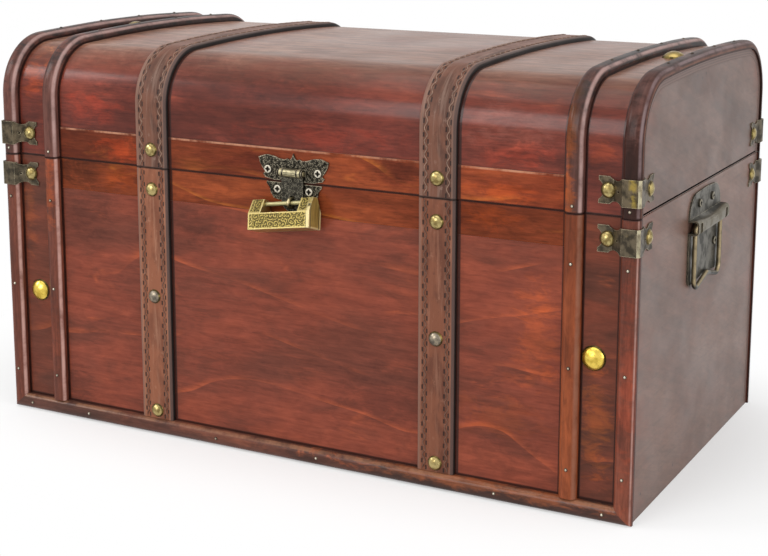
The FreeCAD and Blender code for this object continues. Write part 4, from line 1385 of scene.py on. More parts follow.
# Near-black bands on the trim's side walls where they meet the panel: painted shade.
FOOT_SHADE_BANDS = (ToneBand(1, -0.0110, -0.0088, (0.022, 0.008, 0.006), 1.0, rough=0.0),
             ToneBand(1, 0.0088, 0.0110, (0.022, 0.008, 0.006), 1.0, rough=0.0))
ORANGE, RED, DUSK = (2.3, 1.9, 0.85), (2.4, 1.4, 0.9), (0.45, 0.5, 0.55)

VENEER = Wood("Lacquered veneer", grain=0.7, shade_gutters=SHADE_GUTTERS, patches=0.95, spots=(
    Spot(-0.172, 0.150, 0.024, 0.016, DUSK, 0.5), Spot(0.150, 0.055, 0.030, 0.014, ORANGE, 0.3),
    Spot(0.175, 0.110, 0.018, 0.030, ORANGE, 0.4), Spot(-0.185, 0.020, 0.016, 0.016, DUSK, 0.6),
    Spot(0.066, 0.050, 0.040, 0.022, DUSK, 0.45), Spot(0.155, 0.036, 0.030, 0.016, DUSK, 0.45),
    Spot(-0.080, 0.155, 0.022, 0.014, DUSK, 0.5)))
VENEER_BAY = Wood(
    "Lacquered bay",
    ((0.085, 0.028, 0.017), (0.145, 0.037, 0.020), (0.200, 0.048, 0.024), (0.280, 0.066, 0.026)),
    move=(0.3, 0.9, 0.0), grain=0.6, shade_gutters=SHADE_GUTTERS, patches=1.0,
    spots=(Spot(-0.222, 0.150, 0.006, 0.030, ORANGE, 0.4), Spot(0.214, 0.060, 0.010, 0.040, ORANGE, 0.75)))
VENEER_RAIL = Wood(
    "Lacquered rail",
    ((0.115, 0.022, 0.007), (0.190, 0.038, 0.012), (0.255, 0.055, 0.016), (0.400, 0.120, 0.020)),
    coat=0.2, move=(0.7, 0.3, 0.0), shade_gutters=SHADE_GUTTERS, patches=1.0,
    spots=(Spot(-0.145, 0.180, 0.024, 0.008, ORANGE, 0.6), Spot(0.140, 0.180, 0.022, 0.007, ORANGE, 0.45),
           Spot(-0.170, 0.181, 0.036, 0.016, DUSK, 0.9)))
VENEER_LID = Wood(
    "Lacquered lid",
    ((0.085, 0.016, 0.009), (0.130, 0.024, 0.014), (0.175, 0.034, 0.019), (0.240, 0.048, 0.023)),
    coat=0.55, coat_rough=0.2, move=(1.9, 0.0, 0.0), lines=0.3, crown=(0.200, 0.098, 0.062), shade_gutters=SHADE_GUTTERS,
    patches=1.0,
    spots=(Spot(-0.216, 0.248, 0.009, 0.016, (2.7, 2.2, 0.95), 0.7),
           Spot(-0.165, 0.230, 0.026, 0.010, RED, 0.5),
           Spot(0.165, 0.222, 0.024, 0.008, RED, 0.5), Spot(-0.010, 0.250, 0.045, 0.010, DUSK, 0.5),
           Spot(0.215, 0.228, 0.010, 0.012, ORANGE, 0.4), Spot(-0.217, 0.215, 0.010, 0.014, DUSK, 0.6),
           # Painted light: a pale sheen over the crown's left, painted shade dimming the crown's right, and a
           # painted reflection on the right bay.
           Spot(-0.140, 0.284, 0.120, 0.030, (1.5, 1.7, 1.8), 0.6),
           Spot(0.150, 0.288, 0.040, 0.016, (0.72, 0.66, 0.64), 0.85),
           Spot(0.158, 0.238, 0.036, 0.013, (1.25, 1.9, 2.3), 0.6),
           Spot(0.120, 0.205, 0.050, 0.014, DUSK, 0.35), Spot(0.020, 0.222, 0.060, 0.008, RED, 0.3)))
LID_BATTEN = Wood(
    "Lacquered lid rail",
    ((0.100, 0.017, 0.007), (0.165, 0.031, 0.011), (0.230, 0.048, 0.015), (0.340, 0.095, 0.018)),
    # The tone band is a painted highlight along the rail's top edge.
    coat=0.2, move=(0.2, 1.3, 0.0), drift=(0.66, 1.26), tone_bands=(ToneBand(0, 0.0605, 0.0619),), shade_gutters=SHADE_GUTTERS,
    patches=1.0,
    spots=(Spot(-0.138, 0.201, 0.020, 0.011, (2.6, 1.7, 1.1), 0.7),
           Spot(0.150, 0.199, 0.024, 0.007, ORANGE, 0.4), Spot(0.085, 0.206, 0.034, 0.007, DUSK, 0.65)))
INSIDE = Wood(
    "Stained inside", ((0.05, 0.025, 0.018), (0.10, 0.05, 0.03), (0.15, 0.08, 0.05), (0.16, 0.08, 0.05)),
    coat=0.0)
FLOOR = Wood(
    "Stained floor", ((0.07, 0.035, 0.025), (0.14, 0.075, 0.048), (0.2, 0.11, 0.07), (0.2, 0.11, 0.07)),
    fibres=Along.OBJECT_X, coat=0.0)
TRIM = Wood(
    "Bent trim", ((0.085, 0.025, 0.015), (0.145, 0.039, 0.022), (0.210, 0.058, 0.031), (0.240, 0.070, 0.031)),
    fibres=Along.HOOP, patches=0.7, lines=0.1, coat=0.45, coat_rough=0.22, relief=0.00006,
    # Tone bands: a painted pale highlight on the right rounding, rubbed wear on the left rounding, painted
    # shade at both feet.
    tone_bands=(ToneBand(1, -0.0066, -0.0042, (0.54, 0.31, 0.26), 0.9, 0.0007, 0.15),
          ToneBand(1, 0.0045, 0.0070, (0.26, 0.12, 0.09), 0.4, 0.0009), *FOOT_SHADE_BANDS),
    spots=(Spot(-0.200, 0.165, 0.005, 0.030, (2.4, 1.8, 0.9), 0.8),
           Spot(-0.200, 0.060, 0.006, 0.030, (1.6, 1.3, 1.0), 0.6)))
TRIM_EDGE = replace(
    TRIM, name="Bent trim, thin painted highlight", spots=(Spot(0.236, 0.095, 0.010, 0.080, RED, 0.35),),
    # Tone bands: a thin painted highlight on the right rounding, a near-black band just below it, painted
    # shade at both feet.
    tone_bands=(ToneBand(1, -0.0063, -0.0052, (0.42, 0.24, 0.20), 0.85, 0.0006, 0.2),
          ToneBand(1, -0.0082, -0.0072, (0.022, 0.009, 0.007), 0.8, 0.0005, 0.1), *FOOT_SHADE_BANDS))
TRIM_WARM = replace(
    TRIM, name="Bent trim, warm", coat=0.35, spots=(),
    tones=((0.120, 0.028, 0.010), (0.205, 0.048, 0.016), (0.260, 0.064, 0.020), (0.310, 0.090, 0.022)),
    # Tone bands: a painted highlight on the right rounding and painted shade at both feet.
    tone_bands=(ToneBand(1, -0.0072, -0.0036, (0.27, 0.12, 0.075), 0.7, 0.0009, 0.2), *FOOT_SHADE_BANDS))
TRIM_LID = replace(
    TRIM, name="Bent lid trim", patches=0.9, coat=0.3, coat_rough=0.2,
    tones=((0.050, 0.024, 0.019), (0.100, 0.040, 0.031), (0.150, 0.058, 0.044), (0.190, 0.068, 0.050)),
    # Tone bands: a painted highlight on the right rounding and painted shade at both feet. Spots: painted
    # shade over the top run, then an orange stain on the right hoop.
    tone_bands=(ToneBand(1, -0.0062, -0.0038, (0.48, 0.31, 0.28), 0.8, 0.0008, 0.15), *FOOT_SHADE_BANDS),
    spots=(Spot(0.0, 0.292, 1.0, 0.046, (0.30, 0.46, 0.54), 1.0),
           Spot(0.1950, 0.222, 0.0042, 0.055, (2.9, 1.7, 0.6), 0.9)))
TRIM_DARK = replace(
    TRIM, name="Dark lid trim", patches=0.9, coat=0.25,
    tones=((0.018, 0.008, 0.006), (0.042, 0.015, 0.011), (0.070, 0.026, 0.019), (0.100, 0.040, 0.028)),
    # Tone bands: a painted highlight on the right rounding, a reddish band on the outer side, painted shade
    # at both feet. The spot is a painted sheen at the upper right bend.
    tone_bands=(ToneBand(1, -0.0062, -0.0042, (0.20, 0.135, 0.135), 0.8, 0.0006, 0.2),
          ToneBand(1, -0.0100, -0.0076, (0.22, 0.085, 0.045), 0.5, 0.0008, 0.2), *FOOT_SHADE_BANDS),
    spots=(Spot(0.2400, 0.264, 0.030, 0.024, (2.7, 3.1, 3.4), 0.85),))
MOULDING = replace(
    TRIM, name="Bent moulding",
    tones=((0.040, 0.020, 0.015), (0.078, 0.030, 0.021), (0.130, 0.045, 0.028), (0.175, 0.060, 0.031)),
    # Tone band: a painted highlight along the upper rounding, with painted shade at both feet. Spots: painted
    # highlights along the top edge, right and left.
    tone_bands=(ToneBand(1, -0.0066, -0.0034, (0.36, 0.17, 0.09), 0.5), *FOOT_SHADE_BANDS),
    spots=(Spot(0.140, 0.0090, 0.100, 0.0045, (4.2, 2.8, 1.5), 0.9),
           Spot(-0.060, 0.0085, 0.070, 0.0035, (1.7, 1.5, 1.3), 0.7)))
PLY = PlyEdge("Ply edge")
END_BOARD = EndGrain("End board")
LID_END = EndGrain("Lid end board", ((0.060, 0.030, 0.021), (0.100, 0.053, 0.038), (0.135, 0.075, 0.055)))

STRAP = Leather("Strap leather")
STRAP_LIGHT = Leather(
    "Light strap leather", (0.150, 0.050, 0.026), (0.240, 0.084, 0.042), (0.340, 0.170, 0.105))
STRAP_LID = Leather("Lid strap leather", (0.075, 0.032, 0.021), (0.150, 0.060, 0.036), (0.260, 0.165, 0.125))
THREAD = Plain("Waxed thread", (0.125, 0.056, 0.033), rough=0.6, mottle=0.35, scale=400.0)
THREAD_LID = replace(THREAD, name="Pale waxed thread", colour=(0.215, 0.125, 0.085))

BRONZE = Folded("Antique bronze", (0.125, 0.100, 0.066), (0.040, 0.033, 0.023), (0.60, 0.52, 0.36),
                gilt=0.4, wear=0.75, scale=170.0)
BRACKET = Folded("Gilded bronze", (0.135, 0.105, 0.066), (0.040, 0.032, 0.021), (0.62, 0.53, 0.36),
                 gilt=0.4, gold=0.8, wear=0.75, scale=170.0)
PLATE = Folded("Handle bronze", (0.115, 0.105, 0.083), (0.038, 0.035, 0.028), (0.55, 0.50, 0.38),
               wear=0.8, proud=0.243, raised=(0.165, 0.142, 0.100), scale=120.0)
EMBOSSED = Barrel("Embossed bronze", (0.020, 0.017, 0.012), (0.007, 0.006, 0.004), (0.66, 0.58, 0.42),
                  curls=430.0, wear_radius=0.0008)
TONGUE = Barrel("Tongue bronze", (0.040, 0.036, 0.028), (0.010, 0.009, 0.007), (0.52, 0.47, 0.36),
                curls=520.0, scale=260.0)
BOSS = Metal("Boss brass", (0.82, 0.60, 0.11), (0.50, 0.34, 0.045), rough=0.22, scale=240.0, wear=0.0)
BOSS_DULL = Metal(
    "Dull boss brass", (0.34, 0.25, 0.085), (0.17, 0.12, 0.045), rough=0.28, scale=240.0, wear=0.0)
NAIL = Metal("Nail brass", (0.46, 0.37, 0.155), (0.20, 0.145, 0.050), rough=0.24, scale=330.0, wear=0.0)
# Painted contact shade: a dark ring on the outer rim of the domed nails and bosses.
NAIL_RIM_SHADE = Metal("Nail rim shade", (0.16, 0.115, 0.035), (0.05, 0.038, 0.016), rough=0.4, scale=330.0, wear=0.0)
NAIL_GREY = Metal("Grey nail", (0.30, 0.25, 0.18), (0.12, 0.105, 0.085), rough=0.3, scale=330.0, wear=0.0)
WORN = Metal("Worn brass", (0.50, 0.42, 0.24), (0.22, 0.18, 0.10), (0.85, 0.74, 0.45), 0.28, 0.6, scale=140.0)
PIN = Metal("Bright pins", (0.70, 0.64, 0.52), (0.34, 0.28, 0.20), rough=0.3, wear=0.0)
PIN_DARK = Metal("Dark pins", (0.10, 0.075, 0.05), (0.03, 0.025, 0.02), rough=0.4, wear=0.0)
BAIL = RubbedLitWire("Handle wire", (0.050, 0.044, 0.034), (0.022, 0.020, 0.016), rough=0.32, wear=0.0)
BASE_SCREWS = Screws("Base screws", centres=((0.014, 0.1858), (-0.010, 0.1858)))
LID_SCREWS = Screws("Lid screws", centres=((0.021, 0.1986), (-0.017, 0.1986)))
HANDLE_SCREWS = Screws(
    "Handle screws", (0.10, 0.085, 0.06), (0.04, 0.036, 0.028), ring=(0.30, 0.27, 0.2), along_y=True,
    centres=((-0.014, 0.1795), (0.014, 0.1795), (-0.0215, 0.1475), (0.0215, 0.1475)))
LOCK = LockBrass("Engraved brass")
LOCK_BOLT = LockBrass("Padlock bolt brass", gold=(0.46, 0.345, 0.10), border=(0.68, 0.57, 0.27), bolt=True)
STEEL = Plain("Spring steel", (0.5, 0.5, 0.5), rough=0.3, metal=1.0, mottle=0.08)


# ---- case and lid -----------------------------------------------------------------------------


@dataclass
class Woodwork:
    """Boards, rails and bent trim of the base and the lid."""

    chest: Chest
    lap: float = 0.1
    rail_proud: float = 0.5
    end_ease: float = 0.15
    base_wander: float = 0.25
    lid_wander: float = 0.2

    def upright(self, side: int, low: float, high: float, x: float = 0.0,
                marks: Sequence[float] = (0.0, 0.003, 0.02, 0.2, 0.4, 0.6, 0.8, 0.98, 0.997, 1.0)) -> Track:
        """Vertical line on the front (-1) or back (1) sheet, with X across it."""
        y = side * self.chest.skin_y
        return Track.straight((x, y, low), (x, y, high), X, side * Y, marks)

    def base_panels(self) -> None:
        """Front and back sheets, each in three widths that meet under the inner hoops, and rails."""
        c = self.chest
        rail_z, half_lap = c.seam - c.rail_h, self.lap / 2
        for label, side in SIDES:
            skin = Skin(f"base_{label}_sheet")
            for x0, x1, high, face in (
                    (-c.end_x, -c.rail_x, c.base_high, 3),
                    (-c.rail_x + self.lap, c.rail_x - self.lap, rail_z - half_lap, 0),
                    (c.rail_x, c.end_x, c.base_high, 3)):
                profile = Profile.sheet(x0, x1, c.skin_t, face=face)
                skin.sweep(self.upright(side, 0.0, high), profile, start=x0 * 0.7)
            skin.piece([VENEER, PLY, INSIDE, VENEER_BAY], Body.BASE, Slot.VENEER, [f"base_{label}_panel"])
            rail = Skin(f"base_{label}_batten")
            rail.sweep(self.upright(side, rail_z + half_lap, c.base_high),
                       Profile.sheet(-c.rail_x, c.rail_x, c.rail_t))
            rail.piece([VENEER_RAIL, PLY, INSIDE], Body.BASE, Slot.VENEER, [f"base_{label}_rail"])

    def ends_and_floor(self) -> None:
        """Flat end boards and the floor, with eased edges.

        A lid end's outline is the lid's line moved in past the bent sheet.
        """
        c, ease = self.chest, self.end_ease
        inner, inset = c.skin_y - c.skin_t, 1.6
        corner = [(inset, 0.0), (ease, 0.0), (0.04, 0.04), (0.0, ease)]
        levels = corner + [(move, c.end_t - height) for move, height in corner[::-1]]
        line = Track.over_lid(c, c.lid_low)
        outline = (line.points - line.out * (c.skin_t + 0.05))[:, 1:]
        for label, side in HANDS:
            board = Skin(f"base_{label}_end_board")
            x0, x1 = sorted((side * c.end_x, side * (c.end_x - c.end_t)))
            board.board((x0, -inner, 0), (x1, inner, c.base_high), side * X, ease)
            board.piece([END_BOARD], Body.BASE, Slot.END, [f"base_{label}_end"])
            lid = Skin(f"lid_{label}_end_board")
            lid.stack((outline * [side, 1])[::-side], levels, (side * (c.end_x - c.end_t), 0, 0),
                      side * Y, Z, side * X)
            lid.piece([LID_END], Body.LID, Slot.END, [f"lid_{label}_end"])
        floor, x = Skin("base_floor_board"), c.end_x - c.end_t
        floor.board((-x, -inner, 0), (x, inner, c.floor_t), Z)
        floor.piece([FLOOR], Body.BASE, Slot.PLAIN, ["base_floor"])

    def lid_sheet(self) -> None:
        """One bent sheet in three widths that meet under the inner hoops, and its two rails."""
        c = self.chest
        low, rail_z = c.lid_low, c.seam + c.rail_h
        skin = Skin("lid_bent_sheet")
        for x0, x1, start in ((-c.end_x, -c.rail_x, low),
                              (-c.rail_x + self.lap, c.rail_x - self.lap, rail_z + self.lap / 2),
                              (c.rail_x, c.end_x, low)):
            skin.sweep(Track.over_lid(c, start), Profile.sheet(x0, x1, c.skin_t), start=start - low)
        skin.piece([VENEER_LID, PLY, INSIDE], Body.LID, Slot.VENEER, ["lid_skin"])
        for (label, side), proud in zip(SIDES, (self.rail_proud, 0.0)):
            rail = Skin(f"lid_{label}_batten")
            track = self.upright(side, low, rail_z)
            track.points += track.out * proud
            rail.sweep(track, Profile.sheet(-c.rail_x, c.rail_x, c.rail_t + proud, 0.5), start=40.0)
            rail.piece([LID_BATTEN, PLY, INSIDE], Body.LID, Slot.VENEER, [f"lid_{label}_rail"])

    def relieved(self, track: Track, behind: Array) -> Array:
        """How far the trim may stand out on each row: less within the relief behind the hinges."""
        return np.where(behind & (track.points[:, 1] > 0), self.chest.relief_out, 99.0)

    def moulding(self, label: str, side: int) -> None:
        """Half-round moulding along the front (-1) or back (1) foot, mitred to the rims on a slope."""
        c = self.chest
        half, y, up = c.width / 2, side * c.skin_y, c.foot_h / 2
        foot = Profile.half_round(c.foot_h, c.trim_proud, c.trim_round)
        cut = c.trim_w * (foot.points[:, 0] + up) / c.foot_h
        marks = [0, *np.linspace(0.04, 0.96, 40), 1]
        skin = Skin(f"base_{label}_foot")
        skin.sweep(Track.straight((-half, y, up), (half, y, up), Z, side * Y, marks), foot,
                   slip=(cut, -cut), wander=self.base_wander)
        skin.piece([MOULDING], Body.BASE, Slot.TRIM, [f"base_{label}_moulding"])

    def post(self, label: str, side: int, hand: str, way: int, kind: str) -> None:
        """One upright rim or hoop of the base, cut back near the seam behind the hinge axis.

        A rim's foot rises from the outer corner of the floor line to its inner edge.

        Args:
            label: name of the side.
            side: -1 at the front and 1 at the back.
            hand: name of the hand.
            way: -1 on the left and 1 on the right.
            kind: rim or hoop.
        """
        c, rim = self.chest, kind == "rim"
        shape = Profile.half_round(c.trim_w, c.trim_proud, c.trim_round)
        x, low = (c.width / 2 - c.trim_w / 2, 0.0) if rim else (c.hoop_x, c.foot_h)
        relief = 1 - c.relief_h / (c.base_high - low)
        marks = np.sort([0, *np.linspace(0.08, 0.97, 30), relief - 1e-4, relief, 1])
        track = self.upright(side, low, c.base_high, way * x, marks)
        limit = self.relieved(track, track.points[:, 2] > c.base_high - c.relief_h + 0.005)
        rise = rim * c.foot_h * (0.5 - way * shape.points[:, 0] / c.trim_w)
        skin = Skin(f"base_{kind}_{label}_{hand}_post")
        skin.sweep(track, shape, limit=limit, slip=(rise, 0 * rise), start=way * x + 40 * side,
                   wander=self.base_wander)
        finish = (TRIM_EDGE if rim else TRIM_WARM) if side < 0 < way else TRIM
        skin.piece([finish], Body.BASE, Slot.TRIM, [f"base_{kind}_{label}_{hand}"])

    def bow(self, hand: str, way: int, kind: str) -> None:
        """One rim or hoop bent over the lid on the left (-1) or the right (1)."""
        c, rim = self.chest, kind == "rim"
        shape = Profile.half_round(c.trim_w, c.trim_proud, c.trim_round)
        x = way * (c.width / 2 - c.trim_w / 2 if rim else c.hoop_x)
        track = Track.over_lid(c, c.lid_low)
        limit = self.relieved(track, track.points[:, 2] < c.lid_low + c.relief_h + 0.005)
        skin = Skin(f"lid_{kind}_{hand}_bow")
        skin.sweep(track, shape, shift=x, limit=limit, start=300 + x, wander=self.lid_wander)
        skin.piece([TRIM_DARK if rim and way > 0 else TRIM_LID], Body.LID, Slot.TRIM, [f"lid_{kind}_{hand}"])

    def build(self) -> None:
        """All the woodwork."""
        self.base_panels()
        self.ends_and_floor()
        self.lid_sheet()
        bends = [(hand, way, kind) for hand, way in HANDS for kind in ("rim", "hoop")]
        for label, side in SIDES:
            self.moulding(label, side)
            for bend in bends:
                self.post(label, side, *bend)
        for bend in bends:
            self.bow(*bend)


@dataclass
class Straps:
    """Six leather straps, each with a wavy thread near both edges."""

    chest: Chest
    sway: float = 1.0
    thread_r: float = 0.34
    sunk: float = STITCH_DIP - 0.10
    wave: float = 0.22
    wander: float = 0.12

    def thread(self, skin: Skin, track: Track, shift: float) -> None:
        """Two threads along a track.

        Each thread's line is the track moved across by the stitch line plus a sine of the
        distance run, and out by the strap's thickness less the sunk depth plus a smaller wave
        at twice the rate.

        Args:
            skin: the piece that the threads are added to.
            track: the strap's line.
            shift: how far the strap lies along X from its track.
        """
        length = track.length
        run = np.arange(1.5, length[-1] - 1.5, STITCH_PITCH / 10)
        spots, outs = (np.stack([np.interp(run, length, line[:, i]) for i in range(3)], axis=1)
                       for line in (track.points, track.out))
        outs = unit(outs)
        phase = 2 * math.pi * run / STITCH_PITCH
        for side in (-1, 1):
            over = shift + side * (STITCH_LINE + self.sway * np.sin(phase))
            lift = self.chest.strap_t - self.sunk + self.wave * np.abs(np.cos(phase))
            line = spots + over[:, None] * X + lift[:, None] * outs
            ahead = unit(np.gradient(line, axis=0))
            across = unit(np.cross(ahead, outs))
            skin.sweep(Track(line, across, np.cross(across, ahead)), Profile.circle(self.thread_r, 6))

    def strap(self, name: str, track: Track, shift: float, body: Body, leather: Leather,
              waxed: Plain) -> None:
        """One strap and its threads.

        Args:
            name: the CAD node that the leather replaces.
            track: the strap's line.
            shift: how far the strap lies along X from its track.
            body: the moving body that it rides on.
            leather: finish of the leather.
            waxed: finish of the threads.
        """
        c = self.chest
        skin, stitch = Skin(f"{name}_leather"), Skin(f"{name}_thread")
        skin.sweep(track, Profile.strap(c.strap_w, c.strap_t), shift=shift, wander=self.wander)
        skin.piece([leather], body, Slot.STRAP, [name])
        self.thread(stitch, track, shift)
        stitch.piece([waxed], body, Slot.STRAP)

    def build(self) -> None:
        """The straps and their threads."""
        c = self.chest
        for (hand, _), x, leather in zip(HANDS, c.strap_x, (STRAP_LIGHT, STRAP)):
            for label, side in SIDES:
                y = side * c.skin_y
                track = Track.straight((0, y, c.foot_h), (0, y, c.base_high), X, side * Y,
                                       np.linspace(0, 1, 60))
                self.strap(f"base_strap_{label}_{hand}", track, x, Body.BASE, leather, THREAD)
            over = Track.over_lid(c, c.lid_low, 40)
            self.strap(f"lid_strap_{hand}", over, x, Body.LID, STRAP_LID, THREAD_LID)


# ---- metalwork --------------------------------------------------------------------------------


@dataclass
class Nails:
    """Domed nails, large bosses and fine pins.

    Places are in millimetres, or in shares of the chest's width, its depth or its seam's height.
    """

    chest: Chest
    dome_r: float = 5.0
    dome_h: float = 3.0
    boss_r: float = 8.0
    boss_h: float = 4.4
    pin_r: float = 1.2
    pin_h: float = 0.6
    dome_shade_rim: float = 0.86
    boss_shade_rim: float = 0.9
    pin_rim: float = 0.62
    bracket_nail: float = 21.2
    bracket_t: float = 0.8
    bracket_drop: float = 14.0
    bracket_rise: float = 15.5
    strap_z: tuple[float, ...] = (17.0, 100.0, 176.0)
    strap_rise: float = 12.7
    grey_z: float = 100.0
    base_bosses: tuple[tuple[float, float], ...] = ((-215.0, 0.476), (212.0, 0.534))
    lid_bosses: tuple[tuple[float, float], ...] = ((-216.0, -4.0), (216.0, -4.0))
    post_pins: tuple[float, ...] = (0.157, 0.497, 0.838)
    seam_pins: tuple[float, float] = (4.5, 5.5)
    bow_pins: tuple[float, ...] = (-0.267, -0.089, 0.089, 0.267)
    foot_pins: tuple[float, ...] = (-0.4625, -0.354, -0.125, 0.042, 0.3125, 0.4625)

    @staticmethod
    def cap(radius: float, height: float, fine: int = 10) -> Array:
        """Outline of a domed head: an arc through its rim and its crown, then a flat back."""
        ball = (radius * radius + height * height) / (2 * height)
        bend = ball * arc(0, math.asin(min(1.0, radius / ball)), fine)[:, ::-1] + [0.0, height - ball]
        return np.vstack([bend, [[radius * 0.97, -0.02], [0.0, -0.02]]])

    def domes(self) -> None:
        """Nails of the straps and the corner brackets."""
        c = self.chest
        head, flat = self.cap(self.dome_r, self.dome_h), self.cap(self.dome_r, 0.7 * self.dome_h)
        for body, label, z, heights in (
                (Body.BASE, "base", c.seam - self.bracket_drop, self.strap_z),
                (Body.LID, "lid", c.seam + self.bracket_rise, (c.seam + self.strap_rise,))):
            bright, grey = Skin(f"{label}_domed_nails"), Skin(f"{label}_grey_nails")
            for _, way in HANDS:
                for _, side in SIDES:
                    x, y = way * (c.width / 2 - self.bracket_nail), side * (c.depth / 2 - self.bracket_nail)
                    bright.lathe((x, side * (c.skin_y + self.bracket_t), z), side * Y, head,
                                 edge=self.dome_shade_rim)
                    bright.lathe((way * (c.end_x + self.bracket_t), y, z), way * X, flat, edge=self.dome_shade_rim)
            for x in c.strap_x:
                for _, side in SIDES:
                    for up in heights:
                        skin = grey if up == self.grey_z else bright
                        skin.lathe((x, side * (c.skin_y + c.strap_t), up), side * Y, head, edge=self.dome_shade_rim)
            # the second finish is painted contact shade on each head's outer rim
            bright.piece([NAIL, NAIL_RIM_SHADE], body, Slot.NAIL, [f"{label}_dome_nails"])
            if grey.size:
                grey.piece([NAIL_GREY, NAIL_RIM_SHADE], body, Slot.NAIL, [f"{label}_dome_nails"])

    def bosses(self) -> None:
        """The large round studs of the outer bays."""
        c = self.chest
        head = self.cap(self.boss_r, self.boss_h, 14)
        base, lid = Skin("base_round_bosses"), Skin("lid_round_bosses")
        for x, share in self.base_bosses:
            base.lathe((x, -c.skin_y, share * c.seam), -Y, head, 48, self.boss_shade_rim)
        for x, y in self.lid_bosses:
            lid.lathe((x, y, c.top), Z, head, 48, self.boss_shade_rim)
        # the second finish is painted contact shade on each head's outer rim
        base.piece([BOSS, NAIL_RIM_SHADE], Body.BASE, Slot.NAIL, ["base_bosses"])
        lid.piece([BOSS_DULL, NAIL_RIM_SHADE], Body.LID, Slot.NAIL, ["lid_bosses"])

    def pins(self) -> None:
        """Fine pins along hoops, rims and mouldings."""
        c = self.chest
        head = self.cap(self.pin_r, self.pin_h, 5)
        base, lid, top = Skin("base_fine_pins"), Skin("lid_fine_pins"), Skin("lid_top_pins")
        out, crown_z = c.skin_y + c.trim_proud, c.top - c.crown_r
        for x in (c.hoop_x, c.width / 2 - c.trim_w / 2):
            for way in (-1, 1):
                for (_, side), rise in zip(SIDES, self.seam_pins):
                    for share in self.post_pins:
                        base.lathe((way * x, side * out, share * c.seam), side * Y, head, 12, self.pin_rim)
                    lid.lathe((way * x, side * out, c.seam + rise), side * Y, head, 12, self.pin_rim)
                for y in np.array(self.bow_pins) * c.depth:
                    z = crown_z + math.sqrt(c.crown_r ** 2 - y * y) + c.trim_proud
                    top.lathe((way * x, y, z), Z, head, 12)
        for share in self.foot_pins:
            for _, side in SIDES:
                base.lathe((share * c.width, side * out, c.foot_h / 2), side * Y, head, 12, self.pin_rim)
        base.piece([PIN, PIN_DARK], Body.BASE, Slot.NAIL, ["base_pins"])
        lid.piece([PIN, PIN_DARK], Body.LID, Slot.NAIL, ["lid_pins"])
        top.piece([PIN_DARK], Body.LID, Slot.NAIL, ["lid_pins"])

    def build(self) -> None:
        """All the nails."""
        self.domes()
        self.bosses()
        self.pins()


@dataclass
class CornerBrackets:
    """Eight sheet brackets folded round the rims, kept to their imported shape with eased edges."""

    bevel: float = 0.25

    def build(self, frame: dict) -> None:
        """Both groups of four."""
        refined(frame, "base_corner_brackets", BRONZE, Body.BASE, self.bevel)
        refined(frame, "lid_corner_brackets", BRACKET, Body.LID, self.bevel)


@dataclass
class Hardware:
    """Hinges, hasp, padlock and handles."""

    chest: Chest
    bail_out: float = 3.3
    bail_r: float = 1.6
    bail_bends: tuple[float, ...] = (3.5, 3.5, 6.0, 2.2, 6.0)
    bail_corners: tuple[tuple[float, float], ...] = ((-28, 166.5), (28, 166.5), (28, 123.5), (0, 130.5),
                                                     (-28, 123.5))

    def hinges(self, frame: dict) -> None:
        """Two butt hinges with their pins and screws."""
        refined(frame, "hinge_base_leaves", BRONZE, Body.BASE, 0.2)
        refined(frame, "hinge_lid_leaves", BRONZE, Body.LID, 0.2)
        refined(frame, "hinge_pins", WORN, Body.BASE, 0.15)
        refined(frame, "base_screws", BASE_SCREWS, Body.BASE, 0.12)
        refined(frame, "lid_screws", LID_SCREWS, Body.LID, 0.12)

    def hasp(self, frame: dict) -> None:
        """Butterfly hasp: two winged plates, a ringed barrel, the tongue and the staple."""
        refined(frame, "hasp_upper_plate", EMBOSSED, Body.LID, 0.25)
        refined(frame, "hasp_lower_plate", EMBOSSED, Body.BASE, 0.25)
        refined(frame, "hasp_tongue", TONGUE, Body.TONGUE, 0.2)
        refined(frame, "hasp_pin", WORN, Body.LID, 0.12)
        refined(frame, "hasp_staple", WORN, Body.BASE, 0.05, 1)

    def padlock(self, frame: dict) -> None:
        """Padlock body, sliding bar with its end cap, and the two springs inside."""
        refined(frame, "padlock_body", LOCK, Body.PADLOCK, 0.4)
        refined(frame, "padlock_bolt", LOCK_BOLT, Body.BAR, 0.3)
        refined(frame, "padlock_springs", STEEL, Body.BAR, 0.05, 1)

    def handles(self, frame: dict) -> None:
        """Handle plates with their wire bails and screws."""
        for (hand, way), body in zip(HANDS, (Body.LEFT_BAIL, Body.RIGHT_BAIL)):
            refined(frame, f"handle_plate_{hand}", PLATE, Body.BASE, 0.25, channel=Channel())
            x = way * (self.chest.end_x + self.bail_out)
            corners = np.array([(x, y, z) for y, z in self.bail_corners], float)
            bail = Skin(f"handle_bail_{hand}_wire")
            bail.sweep(Track.loop(corners, self.bail_bends, X), Profile.circle(self.bail_r, 16), closed=True)
            bail.piece([BAIL], body, Slot.WORN, [f"handle_bail_{hand}"])
        refined(frame, "handle_screws", HANDLE_SCREWS, Body.BASE, 0.12)

    def build(self, frame: dict) -> None:
        """All the hardware."""
        self.hinges(frame)
        self.hasp(frame)
        self.padlock(frame)
        self.handles(frame)


# ---- studio -----------------------------------------------------------------------------------


